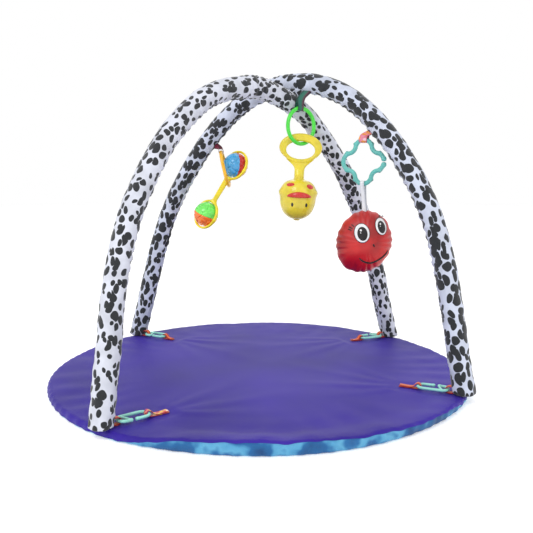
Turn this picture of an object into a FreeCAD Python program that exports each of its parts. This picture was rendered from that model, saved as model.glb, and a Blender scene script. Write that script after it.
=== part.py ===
import FreeCAD, Part
import math
import os
from FreeCAD import Vector

# Baby activity play gym: a round padded mat, two fabric-sleeved arches that cross and are tied
# at the top, four clip links that tie the feet to the mat, and three toys on ribbons.
# Millimetres, +Z up, origin on the floor under the middle of the mat, the play side towards -Y.

# ---- driving dimensions -------------------------------------------------------------------
# mat
mat_radius = 360.0
mat_thickness = 12.0
mat_fabric = 1.0

# arches: each is a flat curve of straight leg, shoulder arc and crown arc, leaning back a little
foot_front_left = Vector(-203, -294, 0)
foot_front_right = Vector(326, -141, 0)
foot_back_left = Vector(-265, 233, 0)
foot_back_right = Vector(266, 232, 0)
foot_gap = 0.6                      # under each foot, above the mat
arch_a_height = 486.0               # along the leaning plane, feet to top of the centre line
arch_b_height = 503.0
arch_lean = 6.5                     # degrees, towards the back
leg_angle = 12.9                    # degrees inward from the lean plane's upright
leg_length = 175.0
shoulder_end = 48.6                 # degrees from upright where the crown arc takes over
sleeve_radius = 17.5
sleeve_fabric = 0.8
foam_radius = 16.6
pole_radius = 5.0
pole_bore = 3.5
ferrule_radius = 3.4
ferrule_bore = 2.2
ferrule_length = 80.0
pole_gap = 0.4                      # between the two pole sections at the top
cap_flange = 2.0
cap_plug = 12.0

# crossing of the two arches
tie_radius = 14.0
tie_reach = 9.0                     # how far the tie laps down each sleeve

# foot ties, measured from the foot's centre towards the middle of the mat
link_start = 22.5
link_length = 52.0
link_width = 26.0
link_bar = 2.3                      # bar radius
link_height = 5.2                   # bar centre above the mat
link_gap = 6.0
tab_width = 10.0
ribbon = 1.0                        # ribbon thickness everywhere
tab_tail = 20.0

# ring and duck rattle
ring_top = Vector(73.5, 56, 466)    # centre of the ring's bar at its top
ring_turn = 41.0                    # degrees about Z
ring_radius = 31.0
ring_bar = 3.5
ring_ribbon_rise = 32.0             # from the ring's bar up to the sleeve the ribbon is sewn to
duck_handle_outer = (38.0, 25.0)    # half width and half height
duck_handle_hole = (25.5, 15.5)
duck_handle_thickness = 9.0
duck_collar_drop = 63.0             # from the ring's bottom to the seam of the head
ring_clearance = 2.2                # between the ring and the handle that hangs on it
duck_lean = 3.0                     # degrees, the head hangs a little towards -X

# hook link and barbell rattle
hook_top = Vector(-80, 180, 393)    # bar centre at the top of the hook
hook_bottom = Vector(-65, 180, 327)
hook_half_width = 26.0
hook_bar = 3.0
upper_ball = Vector(-52, 180, 367)
lower_ball = Vector(-111, 180, 271)
ball_radius = 23.5
cage_radius = 28.0
cage_bar = 2.6
cage_turn = 42.0                    # degrees the two cages are turned about the handle
axle_radius = 1.5
ball_clearance = 0.05               # round each axle, so that the balls turn

# teether and plush
teether_centre = Vector(179, 8, 372)
teether_turn = -29.0                # degrees about Z
lobe_offset = 22.2
lobe_radius = 15.0
valley_radius = 13.0
teether_bar = 3.9
plush_centre = Vector(183, 8, 236)
plush_radius = 53.0
plush_depth = 33.0
plush_fabric = 1.0

up = Vector(0, 0, 1)
mat_top = mat_thickness
foot_bottom = mat_thickness + foot_gap


# ---- small helpers ------------------------------------------------------------------------
def save(name, shape):
    shape.exportStep("parts/" + name + ".step")


def join(pieces):
    """One clean solid out of pieces that meet or overlap."""
    shape = pieces[0].fuse(pieces[1:]) if len(pieces) > 1 else pieces[0]
    return shape.removeSplitter().Solids[0]


def group(pieces):
    """Separate solids kept together in one node."""
    return Part.makeCompound([piece.Solids[0] for piece in pieces])


def bar(edges, radius):
    """A round bar along edges that follow each other tangentially."""
    pieces = []
    for edge in edges:
        start = edge.valueAt(edge.FirstParameter)
        tangent = edge.tangentAt(edge.FirstParameter)
        disc = Part.Face(Part.Wire(Part.makeCircle(radius, start, tangent)))
        pieces.append(Part.Wire([edge]).makePipe(disc).Solids[0])
    return join(pieces)


def line(start, end):
    return Part.LineSegment(start, end).toShape()


def arc(start, middle, end):
    return Part.Arc(start, middle, end).toShape()


def polar(angle):
    """Unit vector in the XY plane at an angle in degrees."""
    return Vector(math.cos(math.radians(angle)), math.sin(math.radians(angle)), 0)


def stadium_edges(first, second, radius, side):
    """Two half circles round first and second, joined by straight sides; side is a unit vector."""
    along = (second - first).normalize()
    return [
        arc(first + side * radius, first - along * radius, first - side * radius),
        line(first - side * radius, second - side * radius),
        arc(second - side * radius, second + along * radius, second + side * radius),
        line(second + side * radius, first + side * radius),
    ]


def ribbon_loop(first, second, gap, width, across):
    """A closed band of ribbon round two points, its width along the unit vector across."""
    side = (second - first).cross(across).normalize()
    faces = []
    for radius in (gap / 2 + ribbon, gap / 2):
        wire = Part.Wire(stadium_edges(first, second, radius, side))
        wire.translate(across * (-width / 2))
        faces.append(Part.Face(wire).extrude(across * width))
    return faces[0].cut(faces[1]).Solids[0]


def ellipsoid(centre, half_x, half_y, half_z):
    stretch = FreeCAD.Matrix()
    stretch.scale(half_x, half_y, half_z)
    ball = Part.makeSphere(1.0).transformGeometry(stretch)
    ball.translate(centre)
    return ball


def turned_profile(points):
    """Solid of revolution about Z through (radius, height) points from bottom to top."""
    curve = Part.BSplineCurve()
    curve.interpolate([Vector(r, 0, z) for r, z in points])
    low = Vector(0, 0, points[0][1])
    high = Vector(0, 0, points[-1][1])
    edges = [curve.toShape(), line(curve.EndPoint, high), line(high, low)]
    if points[0][0] > 0:
        edges.append(line(low, curve.StartPoint))
    return spin(Part.Face(Part.Wire(edges)), up)


def spin(face, axis):
    """A full turn of a face about an axis through the origin, facing outwards."""
    solid = face.revolve(Vector(0, 0, 0), axis, 360)
    if solid.Volume < 0:
        solid.reverse()
    return solid.Solids[0]


def half_space(centre, normal, size=400.0):
    """A big block that fills the side of centre that normal points to."""
    block = Part.makeBox(2 * size, 2 * size, size, Vector(-size, -size, 0))
    block.Placement = FreeCAD.Placement(centre, FreeCAD.Rotation(up, normal))
    return block


# ---- mat ----------------------------------------------------------------------------------
def mat_edge(sign, radius):
    """Quarter of the mat's rounded edge, from its top (or bottom, with sign -1) to its middle."""
    centre = Vector(mat_radius - mat_thickness / 2, 0, mat_thickness / 2)
    bend = math.sqrt(0.5) * radius
    flat = centre + up * (sign * radius)
    return flat, arc(flat, centre + Vector(bend, 0, sign * bend), centre + Vector(radius, 0, 0))


def mat_skin(sign):
    """One fabric face of the mat, with the half of the rounded edge that belongs to it."""
    outer_flat, outer = mat_edge(sign, mat_thickness / 2)
    inner_flat, inner = mat_edge(sign, mat_thickness / 2 - mat_fabric)
    outer_axis, inner_axis = Vector(0, 0, outer_flat.z), Vector(0, 0, inner_flat.z)
    outer_end, inner_end = outer.Vertexes[1].Point, inner.Vertexes[1].Point
    edges = [line(outer_axis, outer_flat), outer, line(outer_end, inner_end), inner,
             line(inner_flat, inner_axis), line(inner_axis, outer_axis)]
    return spin(Part.Face(Part.Wire(Part.sortEdges(edges)[0])), up)


def mat_wadding():
    radius = mat_thickness / 2 - mat_fabric
    top, upper = mat_edge(1, radius)
    bottom, lower = mat_edge(-1, radius)
    top_axis, bottom_axis = Vector(0, 0, top.z), Vector(0, 0, bottom.z)
    edges = [line(top_axis, top), upper, lower, line(bottom, bottom_axis), line(bottom_axis, top_axis)]
    return spin(Part.Face(Part.Wire(Part.sortEdges(edges)[0])), up)


# ---- arches -------------------------------------------------------------------------------
def arch_edges(foot_one, foot_two, height, lean, extra):
    """Centre line of an arch: leg, shoulder, crown, shoulder, leg. extra lengthens the legs down."""
    base = Vector(0, 0, foot_bottom)
    span = foot_two - foot_one
    half = span.Length / 2
    along = Vector(span).normalize()
    normal = up.cross(along)
    tilt = math.radians(lean)
    rise = up * math.cos(tilt) + normal * math.sin(tilt)
    middle = (foot_one + foot_two) * 0.5 + base
    a, b = math.radians(leg_angle), math.radians(shoulder_end)
    # the two arc radii close the half span and the height
    across = half - leg_length * math.sin(a)
    above = height - leg_length * math.cos(a)
    c1, c2 = math.cos(a) - math.cos(b), math.cos(b)
    s1, s2 = math.sin(b) - math.sin(a), 1 - math.sin(b)
    det = c1 * s2 - c2 * s1
    shoulder = (across * s2 - above * c2) / det
    crown = (above * c1 - across * s1) / det

    def place(x, z, sign):
        return middle + along * (sign * x) + rise * z

    def leg_point(distance):
        return half - distance * math.sin(a), distance * math.cos(a)

    def shoulder_point(angle):
        x, z = leg_point(leg_length)
        return (x - shoulder * (math.cos(a) - math.cos(angle)),
                z + shoulder * (math.sin(angle) - math.sin(a)))

    def side(sign):
        low, high = leg_point(-extra), leg_point(leg_length)
        mid, end = shoulder_point((a + b) / 2), shoulder_point(b)
        return [place(*low, sign), place(*high, sign), place(*mid, sign), place(*end, sign)]

    one, two = side(-1), side(1)
    top = place(0, height, 1)
    return [
        line(one[0], one[1]), arc(one[1], one[2], one[3]),
        arc(one[3], top, two[3]),
        arc(two[3], two[2], two[1]), line(two[1], two[0]),
    ]


def trimmed_bar(edges, radius, floor_height):
    """A bar along an arch, cut off level at a height."""
    below = half_space(Vector(0, 0, floor_height), up * -1, 700.0)
    return bar(edges, radius).cut(below).Solids[0]


def make_arch(name, foot_one, foot_two, height, lean):
    """Sleeve, foam, two pole sections, ferrule and end caps of one arch. Returns its outer form."""
    edges = arch_edges(foot_one, foot_two, height, lean, 14.0)
    outer = trimmed_bar(edges, sleeve_radius, foot_bottom)
    sleeve_floor = foot_bottom + 1.5
    inner = trimmed_bar(edges, sleeve_radius - sleeve_fabric, sleeve_floor)
    save(name + "_sleeve", outer.cut(inner))
    pole_floor = sleeve_floor + cap_flange
    pole_outer = trimmed_bar(edges, pole_radius, pole_floor)
    pole_inner = trimmed_bar(edges, pole_bore, pole_floor)
    foam = trimmed_bar(edges, foam_radius, pole_floor + 0.2).cut(
        trimmed_bar(edges, pole_radius + 0.1, pole_floor - 1))
    save(name + "_foam", foam)

    crown = edges[2]
    top = crown.valueAt((crown.FirstParameter + crown.LastParameter) / 2)
    tangent = crown.tangentAt((crown.FirstParameter + crown.LastParameter) / 2)
    pole = pole_outer.cut(pole_inner)
    for label, sign in (("one", -1), ("two", 1)):
        other = half_space(top + tangent * (sign * pole_gap / 2), tangent * -sign, 700.0)
        save(name + "_pole_" + label, pole.cut(other))
    reach = ferrule_length / 2
    ferrule = bar([crown], ferrule_radius).cut(bar([crown], ferrule_bore))
    for sign in (-1, 1):
        ferrule = ferrule.cut(half_space(top + tangent * (sign * reach), tangent * sign, 700.0))
    save(name + "_ferrule", ferrule)

    caps = []
    for edge, foot in ((edges[0], edges[0].Vertexes[0].Point), (edges[4], edges[4].Vertexes[1].Point)):
        flange = bar([edge], pole_radius + 3).common(
            Part.makeBox(60, 60, cap_flange, Vector(foot.x - 30, foot.y - 30, sleeve_floor)))
        plug = bar([edge], pole_bore - 0.1).common(
            Part.makeBox(60, 60, cap_plug, Vector(foot.x - 30, foot.y - 30, pole_floor)))
        caps.append(join([flange, plug]))
    save(name + "_end_caps", group(caps))
    return outer


# ---- foot ties ----------------------------------------------------------------------------
def make_foot_tie(corner, foot, sleeve, turn):
    """Sewn mat tab, clip link and the red loop on the foot, in a line at an angle turn."""
    inward = polar(turn)
    side = up.cross(inward)
    base = Vector(foot.x, foot.y, mat_top + link_height)
    end_radius = link_width / 2 - link_bar
    near = base + inward * (link_start + link_bar + end_radius)
    far = base + inward * (link_start + link_length - link_bar - end_radius)
    edges = stadium_edges(near, far, end_radius, side)
    link = bar(edges, link_bar)
    # the way in is through one long side, and a slanting bar closes the foot's half off
    mouth_start = near + inward * 9 - side * end_radius
    mouth = Part.makeBox(link_gap, 8, 8, Vector(0, -4, -4))
    mouth.Placement = FreeCAD.Placement(mouth_start, FreeCAD.Rotation(Vector(1, 0, 0), inward))
    slant = bar([line(near - side * end_radius + inward * 6, near + side * end_radius - inward * 3)],
                link_bar * 0.85)
    save("link_" + corner, join([link.cut(mouth), slant]))

    inner_bar = far + inward * end_radius
    loop = ribbon_loop(inner_bar - inward * 1.2, inner_bar - inward * 0.2, 7.6, tab_width, side)
    tail = Part.makeBox(tab_tail + 3, tab_width, 1.6, Vector(0, -tab_width / 2, 0))
    tail.Placement = FreeCAD.Placement(
        Vector(inner_bar.x, inner_bar.y, mat_top) + inward * 2, FreeCAD.Rotation(Vector(1, 0, 0), inward))
    save("mat_tab_" + corner, join([loop, tail]))

    outer_bar = near - inward * end_radius
    foot_loop = ribbon_loop(outer_bar - inward * 9, outer_bar + inward * 1.5, 7.6, 12.0, side)
    save("foot_ribbon_" + corner, foot_loop.cut(sleeve))


# ---- crossing -----------------------------------------------------------------------------
def make_tie(lower_sleeve, upper_sleeve):
    """The sewn fabric pad that ties the upper arch down onto the lower one where they cross."""
    gap, closest, _ = lower_sleeve.distToShape(upper_sleeve)
    low, high = closest[0]
    axis = (high - low).normalize()
    post = Part.makeCylinder(tie_radius, gap + 2 * tie_reach, low - axis * tie_reach, axis)
    save("crossing_tie", post.cut(lower_sleeve).cut(upper_sleeve))


# ---- ring and duck ------------------------------------------------------------------------
def make_ring(sleeve):
    """The ring, and the ribbon that carries it from the upper arch's sleeve."""
    along = polar(ring_turn)
    normal = up.cross(along)
    centre = ring_top - up * ring_radius
    circle = Part.makeTorus(ring_radius, ring_bar, centre, normal)
    save("green_ring", circle)
    pivot = ring_top + up * ring_ribbon_rise
    save("ring_ribbon", ribbon_loop(pivot, ring_top - up * 0.3, 8.8, 12.0, along).cut(sleeve))


def make_duck():
    """Upside-down duck rattle: oval handle, neck, hollow head in two halves, face pieces, beads."""
    pivot = ring_top - up * (2 * ring_radius)
    hole_centre = pivot + up * (ring_bar + ring_clearance - duck_handle_hole[1])
    outer_centre = hole_centre + up * 4.5
    collar = pivot - up * duck_collar_drop
    front = Vector(0, -1, 0)

    def put(name, shape):
        shape.rotate(pivot, Vector(0, 1, 0), duck_lean)
        save(name, shape)

    def oval(centre, half_x, half_z, depth):
        form = Part.Face(Part.Wire(Part.Ellipse(Vector(0, 0, 0), half_x, half_z).toShape()))
        solid = form.extrude(Vector(0, 0, depth))
        solid.Placement = FreeCAD.Placement(centre + Vector(0, depth / 2, 0),
                                            FreeCAD.Rotation(Vector(1, 0, 0), 90))
        return solid

    # round neck, and a flat flare that carries it into the handle
    neck_height = outer_centre.z - duck_handle_outer[1] - collar.z
    neck = turned_profile([(9.2, 0.0), (8.7, 6.0), (8.8, 14.0), (6.0, neck_height)])
    neck.translate(collar)
    left = [(-8.6, 6.0), (-9.2, 17.0), (-12.0, 25.0), (-19.0, neck_height + 3)]
    curves = []
    for sign in (1, -1):
        side = Part.BSplineCurve()
        side.interpolate([collar + Vector(sign * x, 0, z) for x, z in left])
        curves.append(side)
    edges = [curve.toShape() for curve in curves]
    edges.append(line(curves[0].StartPoint, curves[1].StartPoint))
    edges.append(line(curves[0].EndPoint, curves[1].EndPoint))
    flare = Part.Face(Part.Wire(Part.sortEdges(edges)[0])).extrude(Vector(0, duck_handle_thickness, 0))
    flare.translate(front * (duck_handle_thickness / 2))
    handle = oval(outer_centre, *duck_handle_outer, duck_handle_thickness)
    hole = oval(hole_centre, *duck_handle_hole, duck_handle_thickness + 4)
    put("duck_handle", join([handle, neck, flare]).cut(hole))

    # radius and height of the head's outline, from the tip up to the collar
    outline = [(0.0, -73.0), (5.5, -71.8), (11.5, -68.0), (18.0, -63.5), (24.0, -58.0), (27.8, -52.0),
               (30.6, -45.0), (32.6, -36.0), (33.4, -25.0), (32.6, -18.0), (30.2, -12.0), (26.0, -6.5),
               (20.6, -2.2), (16.0, 0.0)]
    lining = [(0.0, -70.4), (4.5, -69.2), (10.0, -65.8), (16.4, -61.4), (22.2, -56.0), (25.8, -50.6),
              (28.4, -44.0), (30.2, -35.6), (31.0, -25.0), (30.2, -19.0), (28.0, -14.0), (24.2, -9.2),
              (19.4, -5.2), (15.0, -2.6)]
    outer = turned_profile(outline)
    inner = turned_profile(lining)
    outer.translate(collar)
    inner.translate(collar)
    shell = outer.cut(inner)
    put("duck_head_front", shell.common(half_space(collar, front)))
    put("duck_head_back", shell.common(half_space(collar, front * -1)))

    def on_face(x, z, radius, half_x, half_z, proud):
        """An oval button lying on the head's front, its back cut to the head."""
        y = -math.sqrt(radius * radius - x * x)
        button = ellipsoid(collar + Vector(x, y + 1.5, z), half_x, proud + 3, half_z)
        return button.cut(outer)

    put("duck_beak", on_face(3, -25, 33.4, 20.0, 6.5, 4.0))
    put("duck_cheeks", group([on_face(-14.5, -9, 27.5, 5.5, 3.6, 1.2), on_face(20, -10, 28.4, 5.0, 4.0, 1.2)]))
    put("duck_eyes", group([on_face(x, -43.5, 31.0, 2.2, 3.8, 1.0) for x in (-9.5, 14.5)]))
    beads = []
    for k in range(5):
        angle = k * 2 * math.pi / 5
        beads.append(Part.makeSphere(3.0, collar + Vector(7.5 * math.cos(angle), 7.5 * math.sin(angle), -61)))
    put("duck_beads", group(beads))


# ---- hook and barbell ---------------------------------------------------------------------
def make_hook():
    axis = (hook_top - hook_bottom).normalize()
    side = Vector(0, 1, 0)
    first = hook_top - axis * hook_half_width
    second = hook_bottom + axis * hook_half_width
    link = bar(stadium_edges(first, second, hook_half_width, side), hook_bar)
    mouth = Part.makeBox(14, 12, 9, Vector(-7, -6, -4.5))
    mouth.Placement = FreeCAD.Placement((first + second) * 0.5 + side * hook_half_width,
                                        FreeCAD.Rotation(up, axis))
    save("hook_link", link.cut(mouth))
    pivot = hook_top + up * 9
    save("barbell_ribbon", ribbon_loop(pivot, hook_top - up * 0.4, 8.0, 13.0, side))


def make_barbell():
    """Frame with two cages, two-colour balls on axles, and beads inside them."""
    along = (upper_ball - lower_ball).normalize()
    flat = along.cross(Vector(0, 1, 0)) * -1
    turn = math.radians(cage_turn)
    across = flat * math.cos(turn) + Vector(0, -1, 0) * math.sin(turn)
    normal = along.cross(across)
    reach = cage_radius - cage_bar - 0.2
    pieces = [Part.makeTorus(cage_radius, cage_bar, ball, normal) for ball in (upper_ball, lower_ball)]
    start = lower_ball + along * reach
    end = upper_ball - along * reach
    profile = Part.makePolygon([start + flat * 4.6, start - flat * 4.6, end - flat * 5.6,
                                end + flat * 5.6, start + flat * 4.6])
    grip = Part.Face(profile).extrude(Vector(0, 7.0, 0))
    grip.translate(Vector(0, -3.5, 0))
    grip = grip.makeFillet(2.0, [e for e in grip.Edges if e.Length > 30])
    pieces.append(grip)
    # each axle runs across its cage; the frame has a bore for each of its ends
    frame = join(pieces)
    for ball in (upper_ball, lower_ball):
        frame = frame.cut(Part.makeCylinder(axle_radius, 2 * cage_radius + 1,
                                            ball - across * (cage_radius + 0.5), across))
    save("barbell_frame", frame)

    colours = {"upper_ball": (upper_ball, ("blue", "red")), "lower_ball": (lower_ball, ("green", "orange"))}
    # the side each ball's first colour faces
    splits = {"upper_ball": Vector(-0.90, -0.42, 0.10), "lower_ball": Vector(0.39, -0.11, 0.91)}
    for label, (ball, halves) in colours.items():
        cut_normal = splits[label].normalize()
        bore = Part.makeCylinder(axle_radius + ball_clearance, 2 * ball_radius + 4,
                                 ball - across * (ball_radius + 2), across)
        shell = Part.makeSphere(ball_radius, ball).cut(Part.makeSphere(ball_radius - 2, ball)).cut(bore)
        for half, sign in zip(halves, (1, -1)):
            save(label + "_" + half, shell.common(half_space(ball, cut_normal * sign)))
        save(label + "_axle", Part.makeCylinder(axle_radius, 2 * cage_radius,
                                                ball - across * cage_radius, across))
        beads = [Part.makeSphere(2.6, ball + Vector(6.5 * math.cos(k * 2.1), 6.5 * math.sin(k * 2.1), -13))
                 for k in range(3)]
        save(label + "_beads", group(beads))


# ---- teether and plush --------------------------------------------------------------------
def clover_edges(centre, along):
    """Four outward lobes joined by four inward valleys, all tangent arcs, starting at the top."""
    # a valley's centre lies on the diagonal, a lobe radius and a valley radius from both lobes
    reach = lobe_radius + valley_radius
    valley = (lobe_offset + math.sqrt(2 * reach ** 2 - lobe_offset ** 2)) / 2
    tangent = math.atan2(valley, valley - lobe_offset)

    def at(angle, radial, sideways):
        x = radial * math.cos(angle) - sideways * math.sin(angle)
        z = radial * math.sin(angle) + sideways * math.cos(angle)
        return centre + along * x + up * z

    edges = []
    for k in range(4):
        angle = k * math.pi / 2
        start = (lobe_offset + lobe_radius * math.cos(tangent), -lobe_radius * math.sin(tangent))
        end = (start[0], -start[1])
        edges.append(arc(at(angle, *start), at(angle, lobe_offset + lobe_radius, 0), at(angle, *end)))
        dip = valley * math.sqrt(2) - valley_radius
        follow = angle + math.pi / 2
        edges.append(arc(at(angle, *end), at(angle + math.pi / 4, dip, 0), at(follow, *start)))
    return edges


def make_teether():
    along = polar(teether_turn)
    link = bar(clover_edges(teether_centre, along), teether_bar)
    right = teether_centre + along * (lobe_offset + lobe_radius)
    mouth = Part.makeBox(12, 12, 1.6, Vector(-6, -6, -0.8))
    mouth.translate(right)
    save("teether_ring", link.cut(mouth))
    top_bar = teether_centre + up * (lobe_offset + lobe_radius)
    pivot = top_bar + up * 12
    save("teether_ribbon", ribbon_loop(pivot, top_bar - up * 1.0, 9.4, 13.0, along))


def plush_form(shrink):
    """Flattened ball, round seen from the front."""
    radius = plush_radius - shrink
    return ellipsoid(plush_centre, radius, plush_depth - shrink, radius)


def make_plush():
    outer, inner = plush_form(0), plush_form(plush_fabric)
    shell = outer.cut(inner)
    front = Vector(0, -1, 0)
    save("plush_cover_front", shell.common(half_space(plush_centre, front)))
    save("plush_cover_back", shell.common(half_space(plush_centre, front * -1)))
    save("plush_stuffing", plush_form(plush_fabric + 0.1))
    hang = teether_centre - up * (lobe_offset + lobe_radius)
    low = Vector(hang.x, hang.y, plush_centre.z + plush_radius + 2)
    along = polar(teether_turn)
    save("plush_ribbon", ribbon_loop(hang + up * 1.0, low, 9.4, 8.0, along).cut(outer).cut(inner))


# ---- build --------------------------------------------------------------------------------
os.makedirs("parts", exist_ok=True)
save("mat_top_cover", mat_skin(1))
save("mat_base_cover", mat_skin(-1))
save("mat_wadding", mat_wadding())

sleeve_a = make_arch("arch_a", foot_front_left, foot_back_right, arch_a_height, arch_lean)
sleeve_b = make_arch("arch_b", foot_back_left, foot_front_right, arch_b_height, arch_lean)
ties = {
    "front_left": (foot_front_left, sleeve_a, 40.0),
    "front_right": (foot_front_right, sleeve_b, 158.0),
    "back_left": (foot_back_left, sleeve_b, -28.0),
    "back_right": (foot_back_right, sleeve_a, 208.0),
}
for corner, (foot, sleeve, turn) in ties.items():
    make_foot_tie(corner, foot, sleeve, turn)

make_tie(sleeve_a, sleeve_b)
make_ring(sleeve_b)
make_duck()
make_hook()
make_barbell()
make_teether()
make_plush()
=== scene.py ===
import math
import bpy
import numpy as np
from mathutils import Matrix


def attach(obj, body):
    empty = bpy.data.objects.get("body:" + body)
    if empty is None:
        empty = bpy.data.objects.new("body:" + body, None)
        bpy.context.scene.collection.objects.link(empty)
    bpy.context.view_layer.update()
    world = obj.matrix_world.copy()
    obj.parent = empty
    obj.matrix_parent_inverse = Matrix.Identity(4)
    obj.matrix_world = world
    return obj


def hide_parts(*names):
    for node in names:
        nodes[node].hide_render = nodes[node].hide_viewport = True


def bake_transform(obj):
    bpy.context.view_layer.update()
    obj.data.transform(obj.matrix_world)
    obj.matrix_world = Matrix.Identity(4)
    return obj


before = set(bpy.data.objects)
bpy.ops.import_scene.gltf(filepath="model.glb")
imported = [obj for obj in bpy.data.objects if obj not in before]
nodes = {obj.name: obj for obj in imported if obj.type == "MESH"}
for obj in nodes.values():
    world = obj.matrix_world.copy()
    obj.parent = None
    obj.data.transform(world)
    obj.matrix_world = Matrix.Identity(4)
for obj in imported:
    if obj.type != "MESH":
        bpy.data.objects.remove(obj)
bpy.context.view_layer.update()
upward = np.array([0.0, 0.0, 1.0])
fullTurn = 6.283  # radians, for waves and evenly spread directions
ease = lambda t: np.clip(t, 0, 1) ** 2 * (3 - 2 * np.clip(t, 0, 1))  # 3t^2 - 2t^3 between 0 and 1
bell = lambda t: np.exp(-t * t)  # a bell, 1 at 0


def unit(v):  # a vector over its length
    return v / np.linalg.norm(v, axis=-1, keepdims=True)


def heading(degrees):  # unit vector in the floor's plane: (cos, sin, 0)
    return np.array([math.cos(math.radians(degrees)), math.sin(math.radians(degrees)), 0.0])


def ripple(x, y, wave, seed, count=7):  # sum of plane waves of about one wavelength, in seeded directions
    rng = np.random.default_rng(seed)
    total = 0
    angles, phases, sizes = (rng.uniform(*span, count) for span in ((0, fullTurn), (0, fullTurn), (0.65, 1.5)))
    for angle, phase, size in zip(angles, phases, sizes):
        total = total + np.sin(fullTurn * (x * math.cos(angle) + y * math.sin(angle)) / (wave * size) + phase)
    return total / math.sqrt(count)


def roundRipple(along, angle, wave, seed, count=9):  # as ripple, on a tube: a whole number of waves round it
    rng = np.random.default_rng(seed)
    total = 0
    turnsRound = rng.integers(1, 5, count)
    phases, sizes = (rng.uniform(*span, count) for span in ((0, fullTurn), (-1.5, 1.5)))
    for turns, phase, size in zip(turnsRound, phases, sizes):
        total = total + np.sin(turns * angle + fullTurn * along * size / wave + phase)
    return total / math.sqrt(count)


def curveThrough(points, count, closed=False):
    # Catmull-Rom: cubic pieces whose slope is half the step between neighbours
    p = np.asarray(points, float)
    n = len(p)
    t = np.linspace(0, n if closed else n - 1, count, endpoint=not closed)
    k = np.minimum(t.astype(int), n - 1 if closed else n - 2)
    f = (t - k)[:, None]
    pick = (lambda i: p[i % n]) if closed else (lambda i: p[np.clip(i, 0, n - 1)])
    a, b, c, d = pick(k - 1), pick(k), pick(k + 1), pick(k + 2)
    return b + 0.5 * f * (c - a + f * (2 * a - 5 * b + 4 * c - d + f * (3 * (b - c) + d - a)))


def putMesh(name, points, quads, triangles, material, uv=None):  # a mesh object from whole arrays
    mesh = bpy.data.meshes.new(name)
    loops = np.concatenate([quads.ravel(), triangles.ravel()]).astype(np.int32)
    sizes = np.concatenate([np.full(len(quads), 4), np.full(len(triangles), 3)])
    mesh.vertices.add(len(points))
    mesh.vertices.foreach_set("co", points.astype(np.float32).ravel())
    mesh.loops.add(len(loops))
    mesh.loops.foreach_set("vertex_index", loops)
    mesh.polygons.add(len(sizes))
    mesh.polygons.foreach_set("loop_start", (np.cumsum(sizes) - sizes).astype(np.int32))
    mesh.update(calc_edges=True)
    mesh.shade_smooth()
    if uv is not None:
        mesh.uv_layers.new(name="cloth").data.foreach_set("uv", uv.astype(np.float32).ravel())
    piece = bpy.data.objects.new(name, mesh)
    bpy.context.collection.objects.link(piece)
    mesh.materials.append(material)
    return piece


def loft(name, rows, material, closedRows=False, uRow=None, vCol=None):
    # rings of points joined by quads, ends closed by a fan
    n, m = rows.shape[:2]
    i = np.arange(n if closedRows else n - 1)[:, None]
    j = np.arange(m)[None, :]
    i2, j2 = (i + 1) % n, (j + 1) % m
    quads = np.stack(np.broadcast_arrays(i * m + j, i * m + j2, i2 * m + j2, i2 * m + j), -1).reshape(-1, 4)
    points = rows.reshape(-1, 3)
    triangles = np.zeros((0, 3), int)
    if not closedRows:
        points = np.concatenate([points, rows[[0, -1]].mean(axis=1)])
        a, b = np.arange(m), (np.arange(m) + 1) % m
        last = (n - 1) * m
        triangles = np.concatenate([np.stack([b, a, np.full(m, n * m)], -1),
                                    np.stack([last + a, last + b, np.full(m, n * m + 1)], -1)])
    uv = None
    if uRow is not None:  # u runs along the rows and v round each ring, in metres
        u1, u2 = uRow[:-1] if len(uRow) > len(i) else uRow, uRow[1:] if len(uRow) > len(i) else np.roll(uRow, -1)
        u = np.stack(np.broadcast_arrays(u1[:, None], u1[:, None], u2[:, None], u2[:, None]), -1)
        v = np.stack([vCol[:-1], vCol[1:], vCol[1:], vCol[:-1]], -1)[None]
        uv = np.stack(np.broadcast_arrays(np.broadcast_to(u, (len(i), m, 4)), v), -1).reshape(-1, 2)
        if not closedRows:
            middle = np.full(m, vCol.mean())
            for end, first, second in ((uRow[0], vCol[1:], vCol[:-1]), (uRow[-1], vCol[:-1], vCol[1:])):
                fan = np.stack([np.stack([np.full(m, end), v], -1) for v in (first, second, middle)], 1)
                uv = np.concatenate([uv, fan.reshape(-1, 2)])
    return putMesh(name, points, quads, triangles, material, uv)


def sweep(path, across, sizes, closed=False, columns=24, power=1.0):
    # rings round a path: offset = beside * a * cos^power + across * b * sin^power;
    # across is at right angles to the path
    ahead = np.roll(path, -1, 0) - np.roll(path, 1, 0) if closed else np.gradient(path, axis=0)
    ahead = unit(ahead)
    across = np.broadcast_to(across, path.shape)
    beside = unit(np.cross(across, ahead))
    angle = np.linspace(0, 2 * np.pi, columns, endpoint=False)
    c, s = np.cos(angle), np.sin(angle)
    c, s = np.sign(c) * np.abs(c) ** power, np.sign(s) * np.abs(s) ** power
    a, b = (np.broadcast_to(np.asarray(size, float), len(path))[:, None, None] for size in sizes)
    return path[:, None] + beside[:, None] * a * c[None, :, None] + across[:, None] * b * s[None, :, None]


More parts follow.
